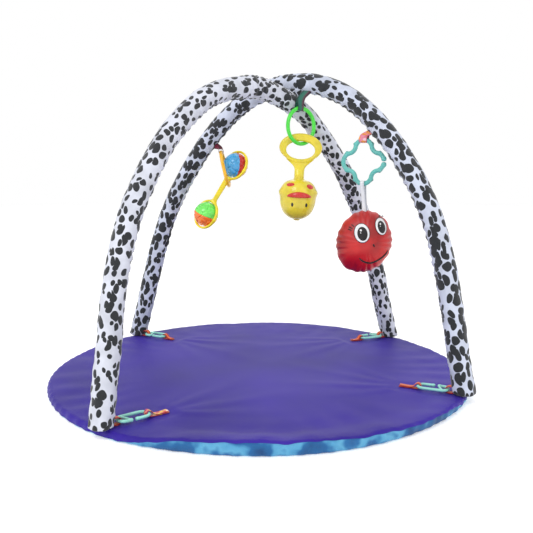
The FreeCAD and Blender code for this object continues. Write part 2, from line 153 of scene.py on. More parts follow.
def surfaceOf(name, field, low, high, step, material, place):
    # the surface where field is 0, on a grid of cells: each cell that it crosses gets one point, the mean of the
    # crossings on its edges, and each crossed edge joins the four cells round it; the points then slide down the
    # field's slope onto the surface, and place carries them from the piece's own axes to the frame
    axes = [np.arange(a, b + step, step) for a, b in zip(low, high)]
    f = field(np.stack(np.meshgrid(*axes, indexing="ij"), -1))
    cells = np.array(f.shape) - 1
    total, count = np.zeros((*cells, 3)), np.zeros(cells)
    crossings = []
    for axis in range(3):
        b, c = (axis + 1) % 3, (axis + 2) % 3
        f0, f1 = (f.take(range(*span), axis) for span in ((0, cells[axis]), (1, cells[axis] + 1)))
        crossed = (f0 < 0) != (f1 < 0)
        along = np.where(crossed, f0 / np.where(crossed, f0 - f1, 1), 0)
        crossings.append((axis, crossed, f0 < 0))
        for db in (0, 1):
            for dc in (0, 1):
                cut = [slice(None)] * 3
                cut[b], cut[c] = slice(db, cells[b] + db), slice(dc, cells[c] + dc)
                here = crossed[tuple(cut)]
                count += here
                total[..., axis] += along[tuple(cut)]
                total[..., b] += here * db
                total[..., c] += here * dc
    used = count > 0
    index = np.full(cells, -1)
    index[used] = np.arange(used.sum())
    where = np.argwhere(used)
    points = np.array(low) + step * (where + total[used] / count[used][:, None])
    quads = []
    for axis, crossed, inside in crossings:
        b, c = (axis + 1) % 3, (axis + 2) % 3
        edge = np.argwhere(crossed)
        edge = edge[(edge[:, b] > 0) & (edge[:, c] > 0) & (edge[:, b] < cells[b]) & (edge[:, c] < cells[c])]
        corner = []
        for db, dc in ((1, 1), (0, 1), (0, 0), (1, 0)):
            near = edge.copy()
            near[:, b] -= db
            near[:, c] -= dc
            corner.append(index[tuple(near.T)])
        quad = np.stack(corner, -1)
        flip = ~inside[tuple(edge.T)]
        quad[flip] = quad[flip][:, ::-1]
        quads.append(quad)
    for _ in range(3):
        slope = np.stack([field(points + d) - field(points - d) for d in np.eye(3) * step * 0.2], -1) / (step * 0.4)
        points = points - (field(points) / np.maximum((slope ** 2).sum(-1), 0.2))[:, None] * slope
    return putMesh(name, place(points), np.concatenate(quads), np.zeros((0, 3), int), material)


def blendMin(a, b, k):  # the smaller of two distances, rounded off over k where they meet
    h = np.clip(0.5 + 0.5 * (b - a) / k, 0, 1)
    return b + (a - b) * h - k * h * (1 - h)


def toSegment(p, a, b):  # distance from points to the straight piece from a to b
    d = np.subtract(b, a)
    t = np.clip(((p - a) @ d) / (d @ d), 0, 1)
    return np.linalg.norm(p - a - t[..., None] * d, axis=-1)


def linear(red, green, blue):  # 0..255 screen colour as linear light
    c = np.array([red, green, blue]) / 255
    c = np.where(c > 0.04045, ((c + 0.055) / 1.055) ** 2.4, c / 12.92)
    return (float(c[0]), float(c[1]), float(c[2]), 1.0)


def node(tree, kind, values=None, **settings):  # a shader node; a value that is another node's output is linked
    item = tree.nodes.new("ShaderNode" + kind)
    for key, value in settings.items():
        setattr(item, key, value)
    for key, value in (values or {}).items():
        if isinstance(value, bpy.types.NodeSocket):
            tree.links.new(value, item.inputs[key])
        else:
            item.inputs[key].default_value = value
    return item


def mathNode(tree, operation, a, b=0.5, clamp=False):
    return node(tree, "Math", {0: a, 1: b}, operation=operation, use_clamp=clamp).outputs[0]


def ramp(tree, value, stops):  # colour ramp from (place, colour or grey) pairs
    item = node(tree, "ValToRGB", {"Fac": value})
    marks = item.color_ramp.elements
    while len(marks) < len(stops):
        marks.new(1.0)
    for mark, (place, colour) in zip(marks, stops):
        mark.position = place
        mark.color = colour if isinstance(colour, tuple) else (colour, colour, colour, 1)
    return item.outputs["Color"]


def startMaterial(name, **fixed):  # material, its tree and its shader, with fixed numbers on the shader's own sockets
    material = bpy.data.materials.new(name)
    material.use_nodes = True
    tree = material.node_tree
    shader = tree.nodes["Principled BSDF"]
    for key, value in fixed.items():
        shader.inputs[key.replace("_", " ")].default_value = value
    return material, tree, shader


def finishMaterial(tree, shader, colour, roughness, bumps):
    # bumps are (height, distance in metres, strength), one on the other
    tree.links.new(colour, shader.inputs["Base Color"])
    tree.links.new(roughness, shader.inputs["Roughness"])
    normal = None
    for height, distance, strength in bumps:
        values = {"Height": height, "Distance": distance, "Strength": strength}
        if normal is not None:
            values["Normal"] = normal
        normal = node(tree, "Bump", values).outputs["Normal"]
    tree.links.new(normal, shader.inputs["Normal"])


def noise(tree, where, perMetre, detail=3.0, rough=0.55, dims="3D", distortion=0.0):
    return node(tree, "TexNoise", {"Vector": where, "Scale": perMetre, "Detail": detail, "Roughness": rough,
                                   "Distortion": distortion}, noise_dimensions=dims)


def weave(tree, where, perMetre, first="X", second="Y"):  # two sets of threads, one over the other
    threads = [node(tree, "TexWave", {"Vector": where, "Scale": perMetre / 2, "Distortion": 0.6, "Detail": 1.0,
                                      "Detail Scale": 2.0}, wave_type="BANDS", bands_direction=side,
                    wave_profile="SIN").outputs["Fac"] for side in (first, second)]
    return mathNode(tree, "MULTIPLY", threads[0], threads[1])


def plastic(name, colour, roughness=0.28, coat=0.35, cloud=0.10, subsurface=0.06):
    # moulded plastic: slightly clouded colour, faint flow and handling marks, and scuffs that take the gloss off
    material, tree, shader = startMaterial(name, Coat_Weight=coat, Coat_Roughness=0.12, IOR=1.47,
                                           Subsurface_Weight=subsurface, Subsurface_Scale=0.004)
    where = node(tree, "TexCoord").outputs["Object"]
    cloudy = noise(tree, where, 55.0, 4.0).outputs["Fac"]
    dark = tuple(c * (1 - 1.6 * cloud) for c in colour[:3]) + (1,)
    light = tuple(min(1, c * (1 + cloud) + 0.02 * cloud) for c in colour[:3]) + (1,)
    tint = ramp(tree, cloudy, [(0.3, dark), (0.52, colour), (0.74, light)])
    scuff = noise(tree, where, 420.0, 5.0, 0.7).outputs["Fac"]
    dull = mathNode(tree, "MULTIPLY_ADD", scuff, 0.34)
    dull.node.inputs[2].default_value = roughness - 0.16
    finishMaterial(tree, shader, tint, dull, [(cloudy, 0.0008, 0.10), (scuff, 0.00012, 0.25)])
    return material


def spotted(name, ground, spot, size, stretch, cover, seed):
    # printed plush fabric: blots of uneven size on a pale ground, each a cell of a bent cell pattern;
    # some run together
    material, tree, shader = startMaterial(name, Sheen_Weight=0.3, Sheen_Roughness=0.5, Specular_IOR_Level=0.2)
    uv = node(tree, "UVMap", uv_map="cloth").outputs["UV"]
    wobble = noise(tree, uv, 0.75 / size, 1.0, 0.4, "2D").outputs["Color"]
    shifted = node(tree, "VectorMath", {0: wobble, 1: (0.5, 0.5, 0.5)}, operation="SUBTRACT").outputs[0]
    shifted = node(tree, "VectorMath", {0: shifted, "Scale": size * 0.6}, operation="SCALE").outputs[0]
    bent = node(tree, "VectorMath", {0: uv, 1: shifted}, operation="ADD").outputs[0]
    turned = node(tree, "Mapping", {"Vector": bent, "Rotation": (0, 0, seed),
                                    "Scale": (1 / size, 1 / (size * stretch), 1)}).outputs[0]
    cell = node(tree, "TexVoronoi", {"Vector": turned, "Scale": 1.0, "Randomness": 0.85},
                voronoi_dimensions="2D", feature="F1")
    own = node(tree, "SeparateColor", {"Color": cell.outputs["Color"]}).outputs["Red"]
    reach = mathNode(tree, "MULTIPLY_ADD", own, 0.30)
    reach.node.inputs[2].default_value = cover - 0.17
    inside = mathNode(tree, "SUBTRACT", reach, cell.outputs["Distance"])
    level = mathNode(tree, "MULTIPLY_ADD", inside, 7.0)
    level.node.inputs[2].default_value = 0.5
    mask = ramp(tree, level, [(0.42, 0.0), (0.58, 1.0)])
    pile = noise(tree, uv, 900.0, 4.0, 0.7, "2D").outputs["Fac"]
    shade = noise(tree, uv, 28.0, 3.0, 0.5, "2D").outputs["Fac"]
    scaled = lambda colour, by: tuple(c * by for c in colour[:3]) + (1,)
    pale = ramp(tree, shade, [(0.3, scaled(ground, 0.80)), (0.6, ground)])
    deep = ramp(tree, pile, [(0.3, scaled(spot, 0.6)), (0.75, scaled(spot, 1.7))])
    colour = node(tree, "MixRGB", {"Fac": mask, "Color1": pale, "Color2": deep}).outputs["Color"]
    rough = ramp(tree, pile, [(0.3, 0.72), (0.7, 0.92)])
    finishMaterial(tree, shader, colour, rough, [(shade, 0.002, 0.25), (pile, 0.0006, 0.45)])
    return material


def cloth(name, colours, perMetre, roughness=(0.5, 0.7), sheen=0.3, blotch=9.0, bump=0.35, specular=0.35):
    # woven cloth: thread pattern in the bump, slow changes of shade between the given colours
    material, tree, shader = startMaterial(name, Sheen_Weight=sheen, Sheen_Roughness=0.4, Specular_IOR_Level=specular)
    where = node(tree, "TexCoord").outputs["Object"]
    slow = noise(tree, where, blotch, 3.0, 0.5).outputs["Fac"]
    stops = np.linspace(0.32, 0.68, len(colours))
    tint = ramp(tree, slow, [(float(stop), colour) for stop, colour in zip(stops, colours)])
    threads = weave(tree, where, perMetre)
    fibre = noise(tree, where, perMetre * 0.9, 3.0, 0.7).outputs["Fac"]
    both = mathNode(tree, "ADD", threads, fibre)
    shadow = ramp(tree, both, [(0.3, 0.25), (1.2, 1.0)])
    darker = node(tree, "MixRGB", {"Fac": 0.16, "Color1": tint, "Color2": shadow}, blend_type="MULTIPLY").outputs["Color"]
    rough = ramp(tree, fibre, [(0.25, roughness[0]), (0.75, roughness[1])])
    finishMaterial(tree, shader, darker, rough, [(slow, 0.002, 0.12), (both, 0.5 / perMetre, bump)])
    return material


def banded(name, stops, dots=None, roughness=0.55, sheen=0.25):
    # woven ribbon: colour bands across its width (v from 0 to 1), cross ribs, and printed dots where given
    material, tree, shader = startMaterial(name, Sheen_Weight=sheen, Sheen_Roughness=0.35, Specular_IOR_Level=0.4)
    uv = node(tree, "UVMap", uv_map="cloth").outputs["UV"]
    parts = node(tree, "SeparateXYZ", {"Vector": uv}).outputs
    fray = noise(tree, uv, 60.0, 3.0, 0.6).outputs["Fac"]
    side = mathNode(tree, "MULTIPLY_ADD", fray, 0.08)
    tree.links.new(parts["Y"], side.node.inputs[2])
    colour = ramp(tree, side, stops)
    if dots:
        scaledX, scaledY = mathNode(tree, "MULTIPLY", parts["X"], 150.0), mathNode(tree, "MULTIPLY", parts["Y"], 2.2)
        spread = node(tree, "CombineXYZ", {0: scaledX, 1: scaledY}).outputs[0]
        cell = node(tree, "TexVoronoi", {"Vector": spread, "Scale": 1.0, "Randomness": 0.8}, voronoi_dimensions="2D")
        pick = node(tree, "SeparateColor", {"Color": cell.outputs["Color"]}).outputs["Red"]
        tone = ramp(tree, pick, dots)
        tone.node.color_ramp.interpolation = "CONSTANT"
        blot = ramp(tree, cell.outputs["Distance"], [(0.34, 1.0), (0.44, 0.0)])
        colour = node(tree, "MixRGB", {"Fac": blot, "Color1": colour, "Color2": tone}).outputs["Color"]
    ribs = node(tree, "TexWave", {"Vector": uv, "Scale": 330.0, "Distortion": 0.5, "Detail": 1.0},
                bands_direction="X").outputs["Fac"]
    both = mathNode(tree, "ADD", ribs, fray)
    # painted shade: the colour is multiplied darker in the grooves between the cross ribs, and unevenly by the fray
    # noise
    ribShadeAndFray = node(tree, "MixRGB", {"Fac": 0.3, "Color1": colour, "Color2": ramp(tree, both, [(0.35, 0.3), (1.1, 1.0)])},
                blend_type="MULTIPLY").outputs["Color"]
    rough = ramp(tree, fray, [(0.3, roughness - 0.1), (0.7, roughness + 0.15)])
    finishMaterial(tree, shader, ribShadeAndFray, rough, [(both, 0.0004, 0.5)])
    return material


looks = {
    "sleeveA": spotted("whiteSpotted", linear(204, 207, 219), linear(38, 40, 43), 0.0152, 0.72, 0.41, 1.3),
    "sleeveB": spotted("greySpotted", linear(196, 202, 219), linear(38, 40, 43), 0.0172, 0.68, 0.46, 2.4),
    "purple": cloth("purplePolyester", [linear(38, 16, 130), linear(46, 22, 146), linear(54, 30, 156)], 1500.0,
                    (0.42, 0.6), 0.04, blotch=5.0, bump=0.25, specular=0.25),
    "base": cloth("bluePrint", [linear(12, 70, 124), linear(18, 88, 144), linear(20, 96, 154), linear(80, 156, 198), linear(92, 166, 204),
                                linear(28, 104, 162), linear(18, 84, 142)], 1300.0, sheen=0.1, blotch=17.0),
    "mint": plastic("mintPlastic", linear(150, 222, 205), 0.35, 0.2),
    "green": plastic("greenPlastic", linear(70, 214, 62), 0.3),
    "duck": plastic("mustardPlastic", linear(222, 202, 46), 0.3, 0.5),
    "cage": plastic("lemonPlastic", linear(240, 218, 30), 0.3, 0.4),
    "hook": plastic("amberPlastic", linear(236, 178, 24), 0.3, 0.4),
    "red": plastic("redPlastic", linear(200, 40, 34), 0.28, 0.4),
    "black": plastic("blackPlastic", linear(24, 24, 26), 0.3, 0.3),
    "blue": plastic("bluePlastic", linear(66, 162, 216), 0.2, 0.7),
    "lime": plastic("limePlastic", linear(112, 232, 92), 0.2, 0.7),
    "orange": plastic("orangePlastic", linear(246, 118, 22), 0.2, 0.7),
    "teal": plastic("tealPlastic", linear(96, 180, 172), 0.42, 0.15),
    "bead": plastic("beadPlastic", linear(236, 236, 232), 0.4, 0.1),
    "satin": cloth("redSatin", [linear(150, 0, 4), linear(184, 4, 8), linear(204, 12, 12)], 1900.0, (0.3, 0.46),
                   0.06, blotch=26.0, bump=0.2, specular=0.6),
    "redRibbon": banded("redRibbon", [(0.0, linear(170, 22, 24)), (0.36, linear(190, 30, 28)), (0.44, linear(232, 112, 40)),
                                      (0.60, linear(232, 112, 40)), (0.68, linear(190, 30, 28))]),
    "print": banded("printRibbon", [(0.0, linear(214, 70, 60)), (0.5, linear(238, 150, 130)), (1.0, linear(206, 60, 70))],
                    [(0.0, linear(240, 200, 70)), (0.35, linear(190, 40, 120)), (0.6, linear(250, 225, 210)), (0.8, linear(220, 60, 50))]),
    "orangeRibbon": banded("orangeRibbon", [(0.0, linear(196, 54, 36)), (0.4, linear(208, 60, 40)), (0.5, linear(240, 150, 60)),
                                            (0.66, linear(206, 66, 40))]),
    "greenRibbon": banded("greenRibbon", [(0.0, linear(24, 40, 38)), (0.3, linear(30, 92, 78)), (0.55, linear(40, 110, 92)),
                                          (0.75, linear(96, 34, 60)), (1.0, linear(40, 30, 40))]),
    "maroon": banded("maroonRibbon", [(0.0, linear(96, 20, 48)), (0.5, linear(138, 30, 62)), (1.0, linear(84, 16, 40))], roughness=0.35),
    "pink": banded("pinkRibbon", [(0.0, linear(214, 110, 140)), (0.5, linear(228, 140, 160)), (1.0, linear(196, 84, 120))],
                   [(0.0, linear(236, 150, 70)), (0.4, linear(140, 70, 150)), (0.7, linear(240, 200, 210))]),
    "white": banded("whiteRibbon", [(0.0, linear(196, 200, 206)), (0.5, linear(232, 234, 238)), (1.0, linear(186, 190, 198))]),
    "whiteThread": cloth("whiteEmbroidery", [linear(226, 226, 228), linear(244, 244, 246)], 2600.0, (0.5, 0.7), 0.2, blotch=90.0),
    "blackThread": cloth("blackEmbroidery", [linear(14, 12, 14), linear(30, 26, 30)], 2600.0, (0.4, 0.6), 0.3, blotch=90.0),
    "wadding": cloth("wadding", [linear(228, 228, 224), linear(240, 240, 238)], 400.0, (0.85, 0.95), 0.4, blotch=60.0),
    "foam": cloth("foam", [linear(214, 212, 196), linear(230, 228, 214)], 900.0, (0.85, 0.95), 0.1, blotch=120.0),
    "pole": plastic("polePlastic", linear(214, 214, 210), 0.4, 0.1),
}
print("stage: materials")


def stitch(piece, body, slot, *replaced):  # every piece rides on a body and may stand for CAD nodes; slot, the name of its finish, is not used
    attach(piece, body)
    if replaced:
        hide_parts(*replaced)
    return piece


mat = {"radius": 0.36, "thick": 0.012, "edge": 0.006, "seam": 0.006, "frontSeam": 0.001, "leftSeam": 0.0022,
       "lift": 0.0125, "shoulder": 0.0098}
feet = {"frontLeft": (-0.203, -0.294), "frontRight": (0.326, -0.141),
        "backLeft": (-0.265, 0.233), "backRight": (0.266, 0.232)}
ties = {"frontLeft": 40.0, "frontRight": 158.0, "backLeft": -28.0, "backRight": 208.0}
corners = {"frontLeft": "front_left", "frontRight": "front_right", "backLeft": "back_left", "backRight": "back_right"}


def rimLift(angle):  # how far the front edge curls up: 1 in the middle of the front, 0 at the feet and behind
    degrees = np.degrees(np.arctan2(np.sin(angle), np.cos(angle)))
    main = ease((degrees + 119) / 22) * (1 - 0.5 * ease((degrees + 84) / 40)) * (1 - ease((degrees + 36) / 9))
    return main * (1 + 0.07 * np.sin(angle * 23) + 0.05 * np.sin(angle * 41 + 1))


def seamHeight(angle):  # mid height behind, higher in front, and up with the curled edge
    front = ease((0.35 - np.sin(angle + 0.15)) / 1.0)
    degrees = np.degrees(np.arctan2(np.sin(angle), np.cos(angle)))
    left = 1 - ease((degrees + 122) / 14) * (1 - ease((degrees - 120) / 40))
    seam = mat["seam"] + mat["frontSeam"] * front
    return seam * (1 - left) + mat["leftSeam"] * left + mat["lift"] * rimLift(angle) + 0.0004 * np.sin(angle * 67)


def rimRadius(angle):  # the disc's edge, drawn in a little by the seam's puckers
    puckers = 0.0007 * np.sin(angle * 97 + 2 * np.sin(angle * 9))
    return mat["radius"] - 0.0012 - puckers - 0.0016 * (0.5 + 0.5 * np.sin(angle * 7 + 1))


def matHeight(x, y):
    # top cover: quilting swell, wrinkles that grow towards the edge, folds that run in from the ties
    radius, angle = np.hypot(x, y), np.arctan2(y, x)
    near = ease((radius - 0.20) / 0.14)
    height = 0.0007 * ripple(x, y, 0.16, 3) + 0.0003 * near * ripple(radius, angle * 0.4, 0.05, 4)
    height += near * 0.0008 * np.sin(angle * 31 + 2.2 * np.sin(angle * 5)) * ease((0.36 - radius) / 0.02)
    calm = 1.0
    for corner, turn in ties.items():
        foot = np.array(feet[corner])
        for swing, size, reach in ((-34, 0.0022, 0.13), (-12, 0.0016, 0.20), (16, 0.0024, 0.16), (40, 0.0017, 0.11)):
            ahead = heading(turn + swing)[:2]
            start = foot + heading(turn)[:2] * 0.085
            u = (x - start[0]) * ahead[0] + (y - start[1]) * ahead[1]
            v = -(x - start[0]) * ahead[1] + (y - start[1]) * ahead[0]
            past = np.maximum(u, 0)
            height += size * bell(v / (0.007 + 0.07 * past)) * ease(u / 0.02) * bell(past / reach)
        ahead = heading(turn)[:2]
        u = (x - foot[0]) * ahead[0] + (y - foot[1]) * ahead[1]
        v = -(x - foot[0]) * ahead[1] + (y - foot[1]) * ahead[0]
        under = (1 - ease((np.abs(v) - 0.017) / 0.012)) * ease((u + 0.05) / 0.02) * (1 - ease((u - 0.1) / 0.02))
        calm = calm * (1 - under)
    rim = rimLift(angle)
    crown = mat["shoulder"] * rim * ease((radius - 0.298) / 0.052) - 0.0012 * rim * bell((radius - 0.29) / 0.02)
    return mat["thick"] - 0.0003 + height * (0.05 + 0.95 * calm) + crown * calm - 0.0003 * (1 - calm)


def makeMat():
    # rings from the middle to the rim; the edge is a quarter ellipse from the top down to the seam,
    # closed inside at mid height
    angle = np.linspace(0, 2 * np.pi, 440, endpoint=False)[None]
    rim, seam = rimRadius(angle), seamHeight(angle)
    share = np.concatenate([[0.004], np.linspace(0.02, 1, 130)])[:, None]
    flatTo = rim - mat["edge"]
    radius = share * flatTo
    height = matHeight(radius * np.cos(angle), radius * np.sin(angle))
    crownEdge = matHeight(flatTo * np.cos(angle), flatTo * np.sin(angle))
    bend = np.linspace(0, np.pi / 2, 9)[1:, None]
    edgeRadius = flatTo + mat["edge"] * np.sin(bend)
    edgeHeight = seam + (np.maximum(crownEdge, seam + 0.0012) - seam) * np.cos(bend)
    inner = np.array([0.985, 0.6, 0.02])[:, None]
    top = [np.concatenate([radius, edgeRadius, inner * rim]),
           np.concatenate([height, edgeHeight, 0 * inner * rim + np.minimum(seam, 0.0062)])]
    lower = np.linspace(0, np.pi / 2, 12)[:, None]
    puff = 0.0006 * np.sin(angle * 53) * np.sin(2 * lower)
    baseRadius = rim - mat["edge"] + mat["edge"] * np.cos(lower) + puff
    baseHeight = seam * (1 - np.sin(lower)) + 0.0001
    flat = np.linspace(0.97, 0.01, 22)[:, None]
    insideHeight = 0 * inner[::-1] * rim + 0.006
    base = [np.concatenate([np.array([0.02, 0.6, 0.985])[:, None] * rim, baseRadius, flat * rim]),
            np.concatenate([insideHeight, baseHeight, 0 * flat * rim + 0.0001])]
    pieces = []
    for name, (r, z), look in (("matTop", top, "purple"), ("matBase", base, "base")):
        rows = np.stack(np.broadcast_arrays(r * np.cos(angle), r * np.sin(angle), z), -1)
        pieces.append(loft(name, rows[::-1], looks[look]))
    stitch(pieces[0], "mat", "purple_top", "mat_top_cover", "mat_wadding")
    stitch(pieces[1], "mat", "blue_base", "mat_base_cover")
    # sewn hem: a thin double cord of cloth along the seam
    turn = angle[0]
    hemRadius = rimRadius(turn) - 0.0006
    path = np.stack([hemRadius * np.cos(turn), hemRadius * np.sin(turn), seamHeight(turn)], -1)
    hem = loft("matHem", sweep(path, upward, (0.0007, 0.0011), True, 8), looks["purple"], True)
    stitch(hem, "mat", "purple_top")


makeMat()
print("stage: mat")

archShape = {"lean": 6.5, "leg": 12.9, "legLength": 0.175, "shoulder": 48.6, "foot": 0.0126, "radius": 0.01745}
arches = {"A": (feet["frontLeft"], feet["backRight"], 0.486), "B": (feet["backLeft"], feet["frontRight"], 0.503)}


def archLine(one, two, height, count):
    # leg, shoulder arc, crown arc, and back down; the two radii close the half span and the height
    one, two = np.array([*one, archShape["foot"]]), np.array([*two, archShape["foot"]])
    span = two - one
    half, along = np.linalg.norm(span) / 2, unit(span)
    a, b, tilt = (math.radians(archShape[k]) for k in ("leg", "shoulder", "lean"))
    rise = upward * math.cos(tilt) + np.cross(upward, along) * math.sin(tilt)
    leg = archShape["legLength"]
    across, above = half - leg * math.sin(a), height - leg * math.cos(a)
    c1, c2, s1, s2 = math.cos(a) - math.cos(b), math.cos(b), math.sin(b) - math.sin(a), 1 - math.sin(b)
    shoulder = (across * s2 - above * c2) / (c1 * s2 - c2 * s1)
    crown = (above * c1 - across * s1) / (c1 * s2 - c2 * s1)
    bendOne, bendTwo = leg + shoulder * (b - a), leg + shoulder * (b - a) + crown * (math.pi / 2 - b)
    s = np.linspace(0, 2 * bendTwo, count)
    d = np.minimum(s, 2 * bendTwo - s)
    t1, t2 = a + (d - leg) / shoulder, b + (d - bendOne) / crown
    xs, zs = across - shoulder * (math.cos(a) - math.cos(b)), leg * math.cos(a) + shoulder * s1
    pick = lambda first, second, third: np.where(d < leg, first, np.where(d < bendOne, second, third))
    x = pick(half - d * math.sin(a), across - shoulder * (math.cos(a) - np.cos(t1)),
             xs - crown * (math.cos(b) - np.cos(t2)))
    z = pick(d * math.cos(a), leg * math.cos(a) + shoulder * (np.sin(t1) - math.sin(a)),
             zs + crown * (np.sin(t2) - math.sin(b)))
    sign = np.where(s < bendTwo, -1, 1)
    line = (one + two) / 2 + along * (sign * x)[:, None] + rise * z[:, None]
    return line, s, np.cross(along, rise), ease((d - leg * 0.8) / 0.08)


def makeSleeve(letter):
    # rings round the arch's line: radius = plain + lumps + creases inside the bend + sewn seam under the arch,
    # level at the feet, which are rounded off and gathered to a point underneath
    one, two, height = arches[letter]
    line, s, across, bend = archLine(one, two, height, 640)
    ahead = unit(np.gradient(line, axis=0))
    ahead[0], ahead[-1] = ahead[2], ahead[-3]
    cap = np.array([0.06, 0.35, 0.62, 0.8])
    order = np.concatenate([np.zeros(4, int), np.arange(640), np.full(4, 639)])
    shrink = np.concatenate([cap, np.ones(640), cap[::-1]])
    line, s, ahead, bend = line[order], s[order], ahead[order], bend[order]
    d = np.minimum(s, s[-1] - s)
    corner = 0.0045
    rounded = 1 - np.where(d < corner, (corner / archShape["radius"]) * (1 - np.sqrt(1 - (1 - d / corner) ** 2)), 0)
    angle = np.linspace(-np.pi, np.pi, 73)
    theta, run = angle[None, :-1], s[:, None]
    seed = 11 if letter == "A" else 23
    inner = (0.5 - 0.5 * np.cos(theta)) ** 2
    radius = archShape["radius"] + 0.00055 * roundRipple(run, theta, 0.11, seed)
    radius += 0.0003 * roundRipple(run, theta, 0.028, seed + 1)
    phase = fullTurn * run / 0.017 + 1.8 * roundRipple(run, 0 * theta, 0.12, seed + 2) + 0.8 * theta
    radius += bend[:, None] * inner * 0.0011 * np.sin(phase)
    slant = roundRipple(run, 0 * theta, 0.2, seed + 3)
    radius += 0.0004 * (1 - bend[:, None]) * np.sin(fullTurn * run / 0.031 + 2.5 * theta + slant)
    fromSeam = (np.abs(theta) - np.pi) * archShape["radius"] + 0.002 * np.sin(run * 40)
    radius += -0.0010 * bell(fromSeam / 0.0012) + 0.0007 * bell((fromSeam + 0.0032) / 0.0018)
    radius += 0.00035 * bell((fromSeam + 0.003) / 0.003) * np.sin(fullTurn * run / 0.006)
    crossing = s[-1] / 2 + (0.006 if letter == "A" else -0.03)
    bunch = bell((run - crossing) / 0.034)
    facing = 0.5 + 0.5 * np.cos(theta) if letter == "A" else 0.5 - 0.5 * np.cos(theta)
    radius += bunch * (0.0016 * facing + 0.0010 * np.sin(fullTurn * run / 0.0115 + 1.5 * np.sin(2 * theta + seed)))
    radius += 0.0009 * bell(d[:, None] / 0.016) * np.sin(7 * theta + seed)
    radius = np.maximum(radius, 0.01675) * (rounded * shrink)[:, None]
    beside = np.cross(across, ahead)
    offset = beside[:, None] * (radius * np.cos(theta))[..., None] + across * (radius * np.sin(theta))[..., None]
    level = 1 - ease((d[:, None] - 0.001) / 0.030)
    offset = offset - ahead[:, None] * (offset[..., 2:] * level[..., None] / ahead[:, None, 2:])
    rows = line[:, None] + offset
    around = s + np.where(order == 0, (shrink - 1) * 0.017, np.where(order == 639, (1 - shrink) * 0.017, 0))
    piece = loft("sleeve" + letter, rows, looks["sleeve" + letter], uRow=around, vCol=angle * archShape["radius"])
    low = letter.lower()
    stitch(piece, "arch_" + low, "spotted_sleeve", f"arch_{low}_sleeve")
    return piece


for letter in "AB":
    makeSleeve(letter)
print("stage: sleeves")

tie = {"centre": (0.0623, 0.0837, 0.4937), "radius": 0.0150, "reach": 0.0085}


def makeTie():
    # gathered pad between the two arches: a short drum with folds, waisted in the middle
    height = np.linspace(-1, 1, 26)[:, None]
    angle = np.linspace(0, 2 * np.pi, 96, endpoint=False)[None]
    folds = 0.0011 * np.sin(11 * angle + 2 * np.sin(3 * angle)) * (1 - 0.4 * height ** 2)
    radius = tie["radius"] * (1 - 0.10 * bell(height / 0.35)) + folds
    radius = radius * np.sqrt(np.clip(1.02 - height ** 8, 0.02, 1))
    x, y, z = tie["centre"]
    rows = np.stack(np.broadcast_arrays(x + radius * np.cos(angle), y + radius * np.sin(angle),
                                        z + height * tie["reach"]), -1)
    piece = loft("crossingTie", rows, looks["sleeveB"], uRow=height[:, 0] * tie["reach"] + 1.7,
                 vCol=np.linspace(0, 2 * np.pi * tie["radius"], 97))
    stitch(piece, "arch_b", "spotted_sleeve", "crossing_tie")


makeTie()

link = {"start": 0.0225, "length": 0.052, "width": 0.026, "bar": 0.0023, "height": 0.0052, "gap": 0.006}


def makeLink(corner):
    # an oval bar with an opening in its near side and a slanting bar across;
    # distance = to the oval's line, less the bar
    ahead = heading(ties[corner])
    side = np.cross(upward, ahead)
    base = np.array([*feet[corner], mat["thick"] + link["height"]])
    end = link["width"] / 2 - link["bar"]
    near, far = link["start"] + link["bar"] + end, link["start"] + link["length"] - link["bar"] - end
    bar = link["bar"]

    def field(p):
        flat = p * [1, 1, 0]
        oval = np.abs(toSegment(flat, [near, 0, 0], [far, 0, 0]) - end)
        ring = np.hypot(oval, p[..., 2] * 0.97) - bar
        mouth = np.array([near + 0.009, -end, 0])
        opening = np.abs(p[..., 0] - mouth[0]) - link["gap"] / 2 + 0.0006
        opening = np.where(p[..., 1] < -end / 2, opening, 0.02)
        ring = -blendMin(-ring, opening, 0.0016)
        slant = toSegment(p, [near + 0.006, -end, 0], [near - 0.003, end, 0]) - bar * 0.8
        near1, near2, far1, far2 = (mouth + [x, 0, 0] for x in (-0.0047, -0.0052, 0.0047, 0.0052))
        knobs = blendMin(toSegment(p, near1, near2), toSegment(p, far1, far2), 0.0001) - bar * 1.12
        return blendMin(blendMin(ring, slant, 0.0014), knobs, 0.0010)

    low = [link["start"] - 0.001, -link["width"] / 2 - 0.001, -0.0035]
    high = [link["start"] + link["length"] + 0.001, link["width"] / 2 + 0.001, 0.0035]
    piece = surfaceOf("link" + corner, field, low, high, 0.00055, looks["mint"],
                      lambda q: base + q[:, :1] * ahead + q[:, 1:2] * side + q[:, 2:] * upward)
    stitch(piece, "clip_" + corners[corner], "mint_plastic", "link_" + corners[corner])
    return ahead, side, base + ahead * (far + end), base + ahead * (near - end)


def ribbonAlong(name, path, across, width, thick, look, closed=False):
    # flat band: a squared section swept along its path; v runs over its width from 0 to 1
    rows = sweep(path, across, (thick / 2, np.asarray(width) / 2), closed, 20, 0.45)
    step = np.linalg.norm(np.diff(path, axis=0), axis=1)
    run = np.concatenate([[0], np.cumsum(step)])
    spread = 0.5 + 0.5 * np.sin(np.linspace(0, 2 * np.pi, 21))
    return loft(name, rows, looks[look], closed, run, spread)


